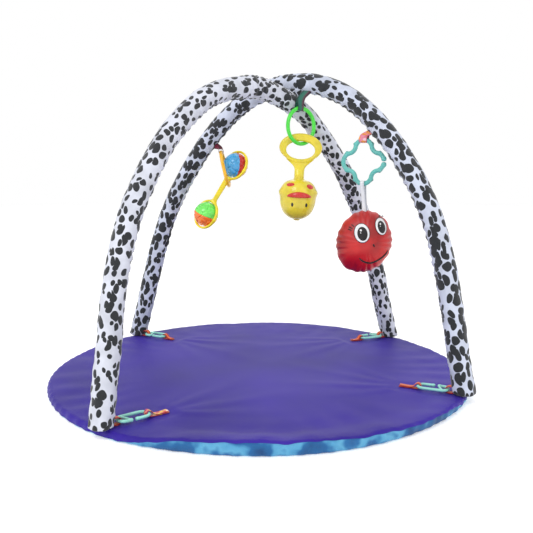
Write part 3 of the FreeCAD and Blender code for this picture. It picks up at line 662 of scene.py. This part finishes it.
def hangRibbon(name, bar, size, across, widths, look, letter="B", shift=0.0):
    # a folded band round a bar and up to the nearest sleeve;
    # its width turns from the bar's line to the sleeve's on the way up
    line = archLine(*arches[letter], 640)[0]
    nearest = np.argmin(np.linalg.norm(line - bar, axis=1))
    along = unit(np.gradient(line, axis=0))[nearest]
    along = along * np.sign(along @ across)
    toward = line[nearest] - bar
    gap = np.linalg.norm(toward) - archShape["radius"] + 0.005
    toward = unit(toward)
    controls = []
    for out, height in ((0, -size), (0.8 * size, -0.55 * size), (size, 0.3 * size), (0.85 * size, 1.5 * size),
                        (0.5 * size, 0.5 * gap), (0.42 * size, gap)):
        turned = float(ease(height / gap))
        line = unit(across * (1 - turned) + along * turned)
        beside = unit(np.cross(upward, line))
        middle = bar + upward * height * (1 - turned) + toward * height * turned + along * shift * turned
        controls.append((middle, beside * out, line, widths[0] + (widths[1] - widths[0]) * turned))
    loop = [[*(m + o), *a, w] for m, o, a, w in controls] + [[*(m - o), *a, w] for m, o, a, w in controls[:0:-1]]
    dense = curveThrough(loop, 170, True)
    return ribbonAlong(name, dense[:, :3], unit(dense[:, 3:6]), dense[:, 6], 0.0010, look, True)


def makeFootTies():
    # each foot: the clip link, the printed tab sewn to the mat round the link's inner bar, the loop on the foot
    rng = np.random.default_rng(5)
    for corner in corners:
        ahead, side, inner, outer = makeLink(corner)
        at = lambda origin, u, z: origin + ahead * u + upward * (z - origin[2])
        top = mat["thick"]
        tail = {"frontLeft": 0.031, "frontRight": 0.030, "backLeft": 0.022, "backRight": 0.022}[corner]
        outline = [(tail, top + 0.0008), (0.018, top + 0.0007), (0.008, top + 0.0007), (0.001, top + 0.0009),
                   (-0.0040, top + 0.0028),
                   (-0.0046, top + 0.0060), (-0.0014, top + 0.0096), (0.0028, top + 0.0082), (0.0075, top + 0.0034),
                   (0.012, top + 0.0023), (0.018, top + 0.0022), (tail - 0.001, top + 0.0030)]
        path = curveThrough([at(inner, u, z) for u, z in outline], 150)
        fromTip = np.abs(np.linspace(-1, 1, 150))
        sway = 0.0022 * np.sin(3.1 * fromTip + rng.uniform(0, 3)) * fromTip
        path = path + side * sway[:, None]
        width = 0.0098 * (1 - 0.10 * bell(fromTip / 0.3))
        look = {"frontLeft": "print", "frontRight": "orangeRibbon"}.get(corner, "redRibbon")
        tab = ribbonAlong("tab" + corner, path, side, width, 0.0010, look)
        stitch(tab, "mat", "print_ribbon", "mat_tab_" + corners[corner])
        loop = [(-0.0105, 0.0018), (-0.0100, 0.0052), (-0.0045, 0.0058), (0.0010, 0.0048), (0.0040, 0.0012),
                (0.0036, -0.0026), (0.0004, -0.0042), (-0.0050, -0.0045), (-0.0100, -0.0030)]
        path = curveThrough([outer + ahead * u + upward * z for u, z in loop], 110, True)
        width = 0.0125 - 0.003 * ease(((path - outer) @ ahead + 0.004) / 0.006)
        ribbon = ribbonAlong("footLoop" + corner, path, side, width, 0.0010, "redRibbon", True)
        parent = "arch_a" if corner in ("frontLeft", "backRight") else "arch_b"
        stitch(ribbon, parent, "red_ribbon", "foot_ribbon_" + corners[corner])


makeFootTies()
print("stage: foot ties")

ring = {"top": (0.0735, 0.056, 0.466), "turn": 41.0, "radius": 0.031, "bar": 0.0035, "ribbonAt": -9.0}


def makeRing():
    # a torus, a little flattened, with a mould line; and the doubled ribbon from the sleeve down round its bar
    along = heading(ring["turn"])
    normal = np.cross(upward, along)
    centre = np.array(ring["top"]) - upward * ring["radius"]
    turn = np.linspace(0, 2 * np.pi, 220, endpoint=False)[:, None]
    path = centre + ring["radius"] * (np.cos(turn) * along + np.sin(turn) * upward)
    rows = sweep(path, normal * -1, (ring["bar"] * 0.97, ring["bar"] * 0.93), True, 28, 0.94)
    inward = unit(rows - path[:, None])
    mould = 0.00012 * bell(np.einsum("ijk,k->ij", inward, normal) / 0.10)
    piece = loft("greenRing", rows + inward * mould[..., None], looks["green"], True)
    stitch(piece, "ring", "green_plastic", "green_ring")
    lean = math.radians(ring["ribbonAt"])
    bar = centre + ring["radius"] * (math.sin(lean) * along + math.cos(lean) * upward)
    ribbon = hangRibbon("ringRibbon", bar, 0.0046, along, (0.0130, 0.0150), "greenRibbon")
    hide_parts("ring_ribbon")
    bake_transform(ribbon)


makeRing()

duck = {"hang": 0.062, "clear": 0.0045, "outer": (0.038, 0.025), "hole": (0.0255, 0.0155), "thick": 0.0045,
        "collar": 0.063, "lean": 3.0}


def ovalDistance(x, z, a, b):  # near the true distance: k1 (k1 - 1) / k2 with k1 = |p / r|, k2 = |p / r^2|
    k1, k2 = np.hypot(x / a, z / b), np.hypot(x / a ** 2, z / b ** 2)
    return k1 * (k1 - 1) / np.maximum(k2, 1e-4)


def duckFrame():  # the rattle's own axes, leaning about the point where the ring holds it
    pivot = np.array(ring["top"]) - upward * duck["hang"]
    lean = math.radians(duck["lean"])
    return pivot, np.array([math.cos(lean), 0, -math.sin(lean)]), np.array([math.sin(lean), 0, math.cos(lean)])


def makeDuck():
    pivot, right, top = duckFrame()
    depth = np.array([0.0, 1.0, 0.0])
    place = lambda q: pivot + q[..., :1] * right + q[..., 1:2] * depth + q[..., 2:] * top
    holeZ = duck["clear"] - duck["hole"][1]
    outerZ = holeZ + 0.0045
    collar = -duck["collar"]

    def handle(p):
        x, y, z = p[..., 0], p[..., 1], p[..., 2]
        a = -ovalDistance(x, z - outerZ, *duck["outer"])
        b = ovalDistance(x, z - holeZ, *duck["hole"])
        wide = np.maximum((a + b) / 2, 0.0012)
        across = (a - b) / (2 * wide)
        bar = (np.abs(across) ** 2.3 + np.abs(y / duck["thick"]) ** 2.3) ** (1 / 2.3) - 1
        bar = bar * np.minimum(wide, duck["thick"])
        up = z - collar
        wideNeck = 0.0087 + 0.012 * ease((up - 0.013) / 0.022) ** 2
        deepNeck = 0.0080 - 0.0038 * ease((up - 0.006) / 0.016)
        neck = ((np.abs(x / wideNeck) ** 2.4 + np.abs(y / deepNeck) ** 2.4) ** (1 / 2.4) - 1) * deepNeck
        neck = np.maximum(neck, np.maximum(-up - 0.0015, up - 0.0345))
        neck = np.maximum(neck, 0.004 - b)
        return blendMin(bar, neck, 0.005)

    piece = surfaceOf("duckHandle", handle, [-0.0405, -0.011, collar - 0.003], [0.0405, 0.011, outerZ + 0.0275],
                      0.0009, looks["duck"], place)
    stitch(piece, "duck", "yellow_plastic", "duck_handle")
    outline = [(0.2, -73.0), (3.5, -72.6), (6.0, -70.6), (12.5, -68.6), (19.0, -64.8), (24.6, -59.4),
               (28.4, -52.6), (30.8, -45.0), (32.0, -36.0), (32.4, -25.0), (31.6, -18.0), (29.4, -12.0),
               (25.4, -6.5), (20.0, -2.6), (14.0, -0.8), (10.2, 0.4), (9.4, 1.8), (6.0, 2.2)]  # mm
    outline = np.array(outline) / 1000
    profile = curveThrough(outline, 150)
    angle = np.linspace(0, 2 * np.pi, 144, endpoint=False)[None]
    radius, height = profile[:, :1], profile[:, 1:]
    sides = bell((np.cos(angle) - 1) / 0.16) + bell((np.cos(angle) + 1) / 0.16)
    ears = 0.0026 * bell((height + 0.0225) / 0.0058) * sides
    tuft = 0.0008 * bell((height + 0.0715) / 0.002) * np.cos(angle * 2)
    split = -0.00035 * bell(np.sin(angle) * radius / 0.0006) * ease((radius - 0.006) / 0.01)
    radius = np.maximum(radius + ears + tuft + split, 0.0001)
    rows = place(np.stack(np.broadcast_arrays(radius * np.cos(angle), radius * np.sin(angle), height + collar), -1))
    head = loft("duckHead", rows, looks["duck"])
    stitch(head, "duck", "yellow_plastic", "duck_head_front", "duck_head_back")

    def onHead(name, centre, half, proud, look, shape, *replaced):
        # a raised oval: polar grid over its outline, laid on the head's front, thick in the middle and closed behind
        share = np.concatenate([np.linspace(0.02, 1, 16), [1.0, 0.6, 0.05]])[:, None]
        turn = np.linspace(0, 2 * np.pi, 72, endpoint=False)[None]
        edge = shape(turn)
        x = centre[0] + half[0] * share * edge * np.cos(turn)
        z = centre[1] + half[1] * share * edge * np.sin(turn)
        reach = np.interp(z, profile[:, 1], profile[:, 0])
        y = -np.sqrt(np.maximum(reach ** 2 - x ** 2, 1e-6))
        lift = proud * np.sqrt(np.clip(1 - share ** 3, 0, 1))
        lift = np.where(np.arange(19)[:, None] > 15, -0.0012, lift)
        out = unit(np.stack([x, y, 0 * x], -1))
        rows = place(np.stack([x, y, z + collar], -1) + out * lift[..., None])
        stitch(loft(name, rows[:, ::-1], looks[look]), "duck", look + "_plastic", *replaced)

    plain = lambda t: 1 + 0 * t
    flatter = lambda t: 1 / np.sqrt(np.cos(t) ** 2 + (np.sin(t) / 0.20) ** 2)
    dome = lambda t: np.where(np.sin(t) < 0, flatter(t), 1 - 0.05 * np.sin(2 * t) ** 2)
    onHead("duckBeak", (0.0016, -0.0296), (0.0216, 0.0088), 0.0042, "red", dome, "duck_beak")
    for label, x, z, wide, tall, tilt, replaced in (
            ("Left", -0.0146, -0.0090, 0.0062, 0.0034, 0.5, ["duck_cheeks"]),
            ("Right", 0.0200, -0.0112, 0.0056, 0.0042, -0.7, [])):
        slanted = lambda t: 1 + 0.16 * np.cos(2 * (t - tilt))
        onHead("duckCheek" + label, (x, z), (wide, tall), 0.0010, "red", slanted, *replaced)
    for label, x, replaced in (("Left", -0.0098, ["duck_eyes"]), ("Right", 0.0150, [])):
        onHead("duckEye" + label, (x, -0.0436), (0.0020, 0.0037), 0.0008, "black", plain, *replaced)


makeDuck()
print("stage: ring and duck")

hook = {"top": (-0.080, 0.180, 0.393), "bottom": (-0.065, 0.180, 0.327), "half": 0.026, "bar": 0.0030}
barbell = {"upper": (-0.052, 0.180, 0.367), "lower": (-0.111, 0.180, 0.271), "ball": 0.0235, "cage": 0.028,
           "turn": 42.0}


def makeHook():
    top, bottom = np.array(hook["top"]), np.array(hook["bottom"])
    axis = unit(top - bottom)
    side = np.array([0.0, 1.0, 0.0])
    third = np.cross(axis, side)
    first, second = top - axis * hook["half"], bottom + axis * hook["half"]
    middle, reach = (first + second) / 2, np.linalg.norm(first - second) / 2

    def field(p):
        flat = p * [1, 1, 0]
        oval = np.abs(toSegment(flat, [-reach, 0, 0], [reach, 0, 0]) - hook["half"])
        bar = np.hypot(oval, p[..., 2] * 0.9) - hook["bar"]
        opening = np.where(p[..., 1] > 0, np.abs(p[..., 0]) - 0.004, 0.02)
        bar = -blendMin(-bar, opening, 0.0018)
        knob = [np.linalg.norm((p - [x, hook["half"], 0]) / [1.2, 1, 1], axis=-1) - hook["bar"] * 1.25
                for x in (-0.0066, 0.0066)]
        return blendMin(bar, np.minimum(*knob), 0.0015)

    size = hook["half"] + hook["bar"] + 0.002
    piece = surfaceOf("hookLink", field, [-reach - size, -size, -0.005], [reach + size, size, 0.005], 0.0007,
                      looks["hook"],
                      lambda q: middle + q[:, :1] * axis + q[:, 1:2] * side + q[:, 2:] * third)
    stitch(piece, "hook", "bright_yellow", "hook_link")
    ribbon = hangRibbon("barbellRibbon", top + axis * -0.0002, 0.0042, side * -1, (0.0085, 0.0160), "maroon")
    stitch(ribbon, "hook", "maroon_ribbon", "barbell_ribbon")


def makeBarbell():
    upper, lower = np.array(barbell["upper"]), np.array(barbell["lower"])
    along = unit(upper - lower)
    flat = np.cross(along, [0.0, 1.0, 0.0]) * -1
    turn = math.radians(barbell["turn"])
    across = flat * math.cos(turn) + np.array([0.0, -1.0, 0.0]) * math.sin(turn)
    normal = np.cross(along, across)
    middle, reach = (upper + lower) / 2, np.linalg.norm(upper - lower) / 2
    # local axes: u along the handle, v in the cages' plane, w across that plane; grip is flat in the picture plane
    gripFlat = np.array([flat @ across, flat @ normal])
    gripDeep = np.array([0, 1.0, 0]) @ np.stack([across, normal], -1)

    def field(p):
        u, v, w = p[..., 0], p[..., 1], p[..., 2]
        bars = []
        for place in (-reach, reach):
            radial = np.hypot(u - place, v) - barbell["cage"]
            bars.append((((np.abs(radial) / 0.0023) ** 2.6 + (np.abs(w) / 0.0031) ** 2.6) ** (1 / 2.6) - 1) * 0.0023)
        boss = [np.linalg.norm((p - [place, sign * barbell["cage"], 0]) / [1.25, 1, 1.1], axis=-1) - 0.0034
                for place in (-reach, reach) for sign in (-1, 1)]
        wide = 0.0050 + 0.0011 * u / reach
        a, b = v * gripFlat[0] + w * gripFlat[1], v * gripDeep[0] + w * gripDeep[1]
        grip = (((np.abs(a) / wide) ** 3 + (np.abs(b) / 0.0034) ** 3) ** (1 / 3) - 1) * 0.0034
        grip = np.maximum(grip, np.abs(u) - (reach - barbell["cage"] + 0.001))
        out = blendMin(np.minimum(*bars), grip, 0.006)
        for knob in boss:
            out = blendMin(out, knob, 0.0012)
        return out

    size = barbell["cage"] + 0.005
    piece = surfaceOf("barbellFrame", field, [-reach - size, -size, -0.0085], [reach + size, size, 0.0085], 0.0010,
                      looks["cage"],
                      lambda q: middle + q[:, :1] * along + q[:, 1:2] * across + q[:, 2:] * normal)
    stitch(piece, "barbell", "bright_yellow", "barbell_frame")
    splits = {"upper": np.array([-0.90, -0.42, 0.10]), "lower": np.array([0.39, -0.11, 0.91])}
    count = 22
    k = np.arange(count) + 0.5
    polar, spin = np.arccos(1 - 2 * k / count), 2.39996 * k
    lobes = np.stack([np.sin(polar) * np.cos(spin), np.sin(polar) * np.sin(spin), np.cos(polar)], -1)
    for label, halves in (("upper", (("blue", "blue"), ("red", "red"))), ("lower", (("green", "lime"), ("orange", "orange")))):
        centre = np.array(barbell[label])
        pole = unit(splits[label])
        sideOne = unit(np.cross(pole, [0.3, 0.9, 0.2]))
        sideTwo = np.cross(pole, sideOne)
        for sign, (name, look) in zip((1, -1), halves):
            # half a shell: pole to rim outside, back to the pole inside; outside has raised round panels
            tilt = np.concatenate([np.linspace(0.01, np.pi / 2, 52), np.linspace(np.pi / 2, 0.01, 14)])[:, None]
            around = np.linspace(0, 2 * np.pi, 168, endpoint=False)[None]
            outward = np.cos(around)[..., None] * sideOne + np.sin(around)[..., None] * sideTwo * sign
            ways = (np.cos(tilt)[..., None] * pole * sign + np.sin(tilt)[..., None] * outward)
            close = np.sort(ways @ lobes.T, axis=-1)
            panel = ease((close[..., -1] - close[..., -2]) / 0.09)
            outside = (np.arange(66) < 52)[:, None]
            groove = 0.0004 * bell((tilt - np.pi / 2) / 0.03)
            radius = np.where(outside, barbell["ball"] - 0.0007 + 0.0014 * panel - groove, barbell["ball"] - 0.0022)
            rows = centre + ways * radius[..., None]
            piece = loft(label + "Ball" + name.capitalize(), rows[::-1], looks[look])
            stitch(piece, label + "_ball", look + "_plastic", f"{label}_ball_{name}")


makeHook()
makeBarbell()
print("stage: hook and barbell")

teether = {"centre": (0.179, 0.008, 0.372), "turn": -29.0, "lobe": 0.0222, "radius": 0.015, "valley": 0.013,
           "bar": 0.0039}


def makeTeether():
    along = heading(teether["turn"])
    normal = np.cross(upward, along)
    centre = np.array(teether["centre"])
    lobe, radius, dip = teether["lobe"], teether["radius"], teether["valley"]
    reach = radius + dip
    corner = (lobe + math.sqrt(2 * reach ** 2 - lobe ** 2)) / 2
    limit = math.atan2(corner, corner - lobe)

    def field(p):
        # the clover repeats every quarter turn: fold to one lobe and one valley, take the nearer arc
        x, z = p[..., 0], p[..., 1]
        angle = np.arctan2(z, x)
        quarter = angle - np.round(angle / (np.pi / 2)) * (np.pi / 2)
        far = np.hypot(x, z)
        a, b = far * np.cos(quarter), np.abs(far * np.sin(quarter))
        onLobe = np.arctan2(b, a - lobe)
        arc = np.where(onLobe < limit, np.abs(np.hypot(a - lobe, b) - radius), 1.0)
        valley = np.where(a + b < 2 * corner - dip * 0.5, np.abs(np.hypot(a - corner, b - corner) - dip), 1.0)
        flat = np.minimum(arc, valley)
        ribs = 0.00055 * ease((np.abs(np.degrees(angle) - 24) - 0) / -9 + 1) * (0.5 + 0.5 * np.cos(angle * 95))
        bar = np.hypot(flat, p[..., 2] * 0.96) - teether["bar"] * 0.97 - ribs
        slot = np.where(x > 0, np.abs(z) - 0.0011, 0.02)
        bar = -blendMin(-bar, slot, 0.0016)
        ends = [np.linalg.norm(p - [lobe + radius - 0.0004, h, 0], axis=-1) - 0.0045 for h in (-0.0050, 0.0050)]
        return blendMin(bar, np.minimum(*ends), 0.0010)

    size = lobe + radius + 0.0065
    piece = surfaceOf("teetherRing", field, [-size, -size, -0.0060], [size, size, 0.0060], 0.0009, looks["teal"],
                      lambda q: centre + q[:, :1] * along + q[:, 1:2] * upward - q[:, 2:] * normal)
    stitch(piece, "teether", "teal_plastic", "teether_ring")
    top = centre + upward * (lobe + radius)
    ribbon = hangRibbon("teetherRibbon", top, 0.0050, along, (0.0150, 0.0085), "pink", shift=0.002)
    stitch(ribbon, "teether", "pink_ribbon", "teether_ribbon")
    bottom = centre - upward * (lobe + radius)
    outline = [(0.0, 0.0050), (0.0043, 0.0033), (0.0050, -0.0010), (0.0038, -0.010), (0.0022, -0.026), (0.0016, -0.046)]
    outline += [(-x, z) for x, z in outline[:0:-1]]
    points = [bottom + normal * x + upward * z + along * 0.004 * max(0, -z / 0.046) for x, z in outline]
    path = curveThrough(points, 140, True)
    strap = ribbonAlong("plushStrap", path, along, 0.0078 + 0 * path[:, 0], 0.0009, "white", True)
    stitch(strap, "plush", "white_ribbon", "plush_ribbon")


plush = {"centre": (0.1835, 0.008, 0.236), "half": (0.0495, 0.031, 0.0530),
         "outline": [47.5, 48, 51.5, 53, 53.5, 51.5, 48.5, 47.5, 48.5, 50.5, 56.5, 56, 54, 51, 48.5, 47]}


def plushOutline(turn):
    # the sewn edge: an uneven round, with gathers; radii in mm every 22.5 degrees from +X upwards,
    # smoothed over five near angles, and given as a share of the plain oval
    radii = np.array(plush["outline"] * 3) / 1000
    whole = 6.28319
    spread = [np.interp(((turn + shift) % whole) / whole * 16 + 16, np.arange(48), radii)
              for shift in (0, -0.14, -0.07, 0.07, 0.14)]
    gathers = 0.0007 * np.sin(19 * turn + 2 * np.sin(4 * turn))
    return (sum(spread) / 5 + gathers) / np.hypot(plush["half"][0] * np.cos(turn), plush["half"][2] * np.sin(turn))


def plushDepth(x, z):  # distance in front of the seam's plane, for x and z from the middle
    half = plush["half"]
    turn = np.arctan2(z / half[2], x / half[0])
    share = np.clip(np.hypot(x / half[0], z / half[2]) / np.maximum(plushOutline(turn), 0.01), 0, 1)
    dome = half[1] * (1 - share ** 2.5) ** 0.62
    gather = 0.0019 * np.sin(23 * turn + 2 * np.sin(4 * turn)) * share ** 7 * (1 - share ** 16)
    dents = 0.0009 * ripple(x, z, 0.042, 8) * (1 - share ** 4)
    return dome + gather + dents


def makePlush():
    centre, half = np.array(plush["centre"]), plush["half"]
    share = np.sin(np.linspace(0.01, np.pi / 2, 76))[:, None]
    turn = np.linspace(0, 2 * np.pi, 260, endpoint=False)[None]
    edge = plushOutline(turn)
    x, z = half[0] * edge * share * np.cos(turn), half[2] * edge * share * np.sin(turn)
    depth = plushDepth(x * 0.9999, z * 0.9999)
    depth[-1] = 0
    front = np.stack([x, -depth, z], -1)
    back = np.stack([x, depth * 0.96, z], -1)
    rows = centre + np.concatenate([front, back[-2::-1]])
    piece = loft("plushHead", rows[::-1], looks["satin"])
    stitch(piece, "plush", "red_satin", "plush_cover_front", "plush_cover_back", "plush_stuffing")

    def patch(name, middle, sizes, lift, look, tilt=0.0):
        # an oval of embroidery that follows the plush front
        ratio = np.concatenate([np.linspace(0.02, 1, 14), [0.98, 0.5, 0.04]])[:, None]
        around = np.linspace(0, 2 * np.pi, 84, endpoint=False)[None]
        a, b = sizes[0] * ratio * np.cos(around), sizes[1] * ratio * np.sin(around)
        x = middle[0] + a * math.cos(tilt) - b * math.sin(tilt)
        z = middle[1] + a * math.sin(tilt) + b * math.cos(tilt)
        thick = np.where(np.arange(17)[:, None] > 13, -0.0015, lift * (1 - 0.55 * ratio ** 6))
        rows = centre + np.stack([x, -plushDepth(x, z) - thick, z], -1)
        slot = {"whiteThread": "white_ribbon", "blackThread": "black_plastic"}[look]
        stitch(loft(name, rows[:, ::-1], looks[look]), "plush", slot)

    def cordStitch(name, points, width, lift):
        line = curveThrough(points, 60)
        path = centre + np.stack([line[:, 0], -plushDepth(line[:, 0], line[:, 1]) - lift, line[:, 1]], -1)
        taper = np.sqrt(np.clip(1 - np.linspace(-1, 1, 60) ** 6, 0.05, 1))
        rope = 1 + 0.10 * np.sin(np.linspace(0, 60, 60))
        across = unit(np.cross(np.gradient(path, axis=0), [0, 1.0, 0]))
        rows = sweep(path, across, (0.0010 * taper * rope, width * taper * rope), columns=12)
        stitch(loft(name, rows, looks["blackThread"]), "plush", "black_plastic")

    for label, middle, sizes, tilt in (("Left", (-0.0078, 0.0166), (0.0133, 0.0166), 0.12),
                                       ("Right", (0.0252, 0.0274), (0.0104, 0.0150), 0.27)):
        patch("eyeRim" + label, middle, sizes, 0.0009, "blackThread", tilt)
        patch("eyeWhite" + label, middle, [s - 0.0010 for s in sizes], 0.0016, "whiteThread", tilt)
        iris = (middle[0] + 0.0006, middle[1] - 0.0008)
        patch("iris" + label, iris, (sizes[0] * 0.70, sizes[1] * 0.76), 0.0022, "blackThread", tilt)
        for glint, left, up, wide, tall, lift in (("glint", 0.20, 0.34, 0.15, 0.13, 0.0028),
                                                  ("glintLow", 0.22, 0.08, 0.08, 0.07, 0.0027)):
            place = (iris[0] - sizes[0] * left, iris[1] + sizes[1] * up)
            patch(glint + label, place, (sizes[0] * wide, sizes[1] * tall), lift, "whiteThread", tilt)
    lashes = (((-0.0205, 0.0268), (-0.0250, 0.0305)), ((-0.0232, 0.0234), (-0.0290, 0.0264)),
              ((-0.0250, 0.0206), (-0.0310, 0.0228)),
              ((0.0230, 0.0430), (0.0265, 0.0452)), ((0.0285, 0.0434), (0.0318, 0.0430)))
    for number, (a, b) in enumerate(lashes):
        cordStitch(f"lash{number}", [a, ((a[0] + b[0]) / 2 - 0.0004, (a[1] + b[1]) / 2 + 0.0006), b], 0.0008, 0.0007)
    cordStitch("noseMark", [(0.0112, -0.0016), (0.0122, -0.0040), (0.0136, -0.0062)], 0.0012, 0.0008)
    smile = [(-0.0112, -0.0258), (-0.0070, -0.0302), (0.0006, -0.0340), (0.0095, -0.0350), (0.0190, -0.0316),
             (0.0290, -0.0256), (0.0350, -0.0196), (0.0388, -0.0140)]
    cordStitch("smile", smile, 0.0014, 0.0008)


makeTeether()
makePlush()
print("stage: teether and plush")

hidden = {"upper_ball_axle": "cage", "lower_ball_axle": "cage",
          "duck_beads": "bead", "upper_ball_beads": "bead", "lower_ball_beads": "bead"}
for letter in "ab":
    hidden[f"arch_{letter}_foam"] = "foam"
    for part in ("pole_one", "pole_two", "ferrule", "end_caps"):
        hidden[f"arch_{letter}_{part}"] = "pole"
for name, look in hidden.items():  # CAD nodes that stay get their material
    nodes[name].data.materials.clear()
    nodes[name].data.materials.append(looks[look])

studio = {"camera": (0.0443, -1.1654, 0.3595), "ahead": (-0.0259, 0.9895, -0.1421), "lens": 45.75}


def looking(back, place):  # the matrix of something at a place whose -Z looks away from back, kept upright
    back = unit(back)
    right = unit(np.cross(upward, back))
    rows = np.stack([right, np.cross(back, right), back], -1)
    return Matrix([[*row, at] for row, at in zip(rows, place)] + [[0, 0, 0, 1]])


def makeStudio():
    turn = np.linspace(0, fullTurn, 64, endpoint=False)
    rings = ((0.01, -0.0004), (2.0, -0.0004), (6.0, -0.0004), (6.0, -0.02), (0.01, -0.02))  # radius and height
    rows = np.array([np.stack([r * np.cos(turn), r * np.sin(turn), z + 0 * turn], -1) for r, z in rings])
    pale = cloth("paleFloor", [linear(244, 244, 244), linear(250, 250, 250)], 90.0, (0.8, 0.9), 0.0,
                 blotch=1.5, bump=0.02)
    floor = loft("floor", rows[::-1], pale)
    glow = floor.data.materials[0].node_tree.nodes["Principled BSDF"].inputs
    glow["Emission Color"].default_value, glow["Emission Strength"].default_value = (1, 1, 1, 1), 0.3
    world = bpy.data.worlds.new("studio")
    bpy.context.scene.world = world
    world.use_nodes = True
    world.node_tree.nodes["Background"].inputs["Color"].default_value = (1.0, 1.0, 1.0, 1)
    world.node_tree.nodes["Background"].inputs["Strength"].default_value = 1.0
    for name, place, power, size in (("key", (-0.9, -1.5, 1.7), 15, 1.2), ("fill", (1.5, -1.2, 1.0), 3, 1.4),
                                     ("back", (0.3, 1.6, 1.6), 3, 1.4)):
        lamp = bpy.data.lights.new(name, "AREA")
        lamp.energy, lamp.size, lamp.shape = power, size, "DISK"
        item = bpy.data.objects.new(name, lamp)
        item.matrix_world = looking(np.array(place) - [0.02, 0, 0.2], place)
        bpy.context.collection.objects.link(item)
    lens = bpy.data.cameras.new("camera")
    lens.lens, lens.sensor_width, lens.clip_end = studio["lens"], 36.0, 50.0
    camera = bpy.data.objects.new("camera", lens)
    camera.matrix_world = looking(-np.array(studio["ahead"]), studio["camera"])
    bpy.context.collection.objects.link(camera)
    bpy.context.scene.camera = camera
    bpy.context.scene.view_settings.view_transform = "Standard"


makeStudio()
print("stage: studio")
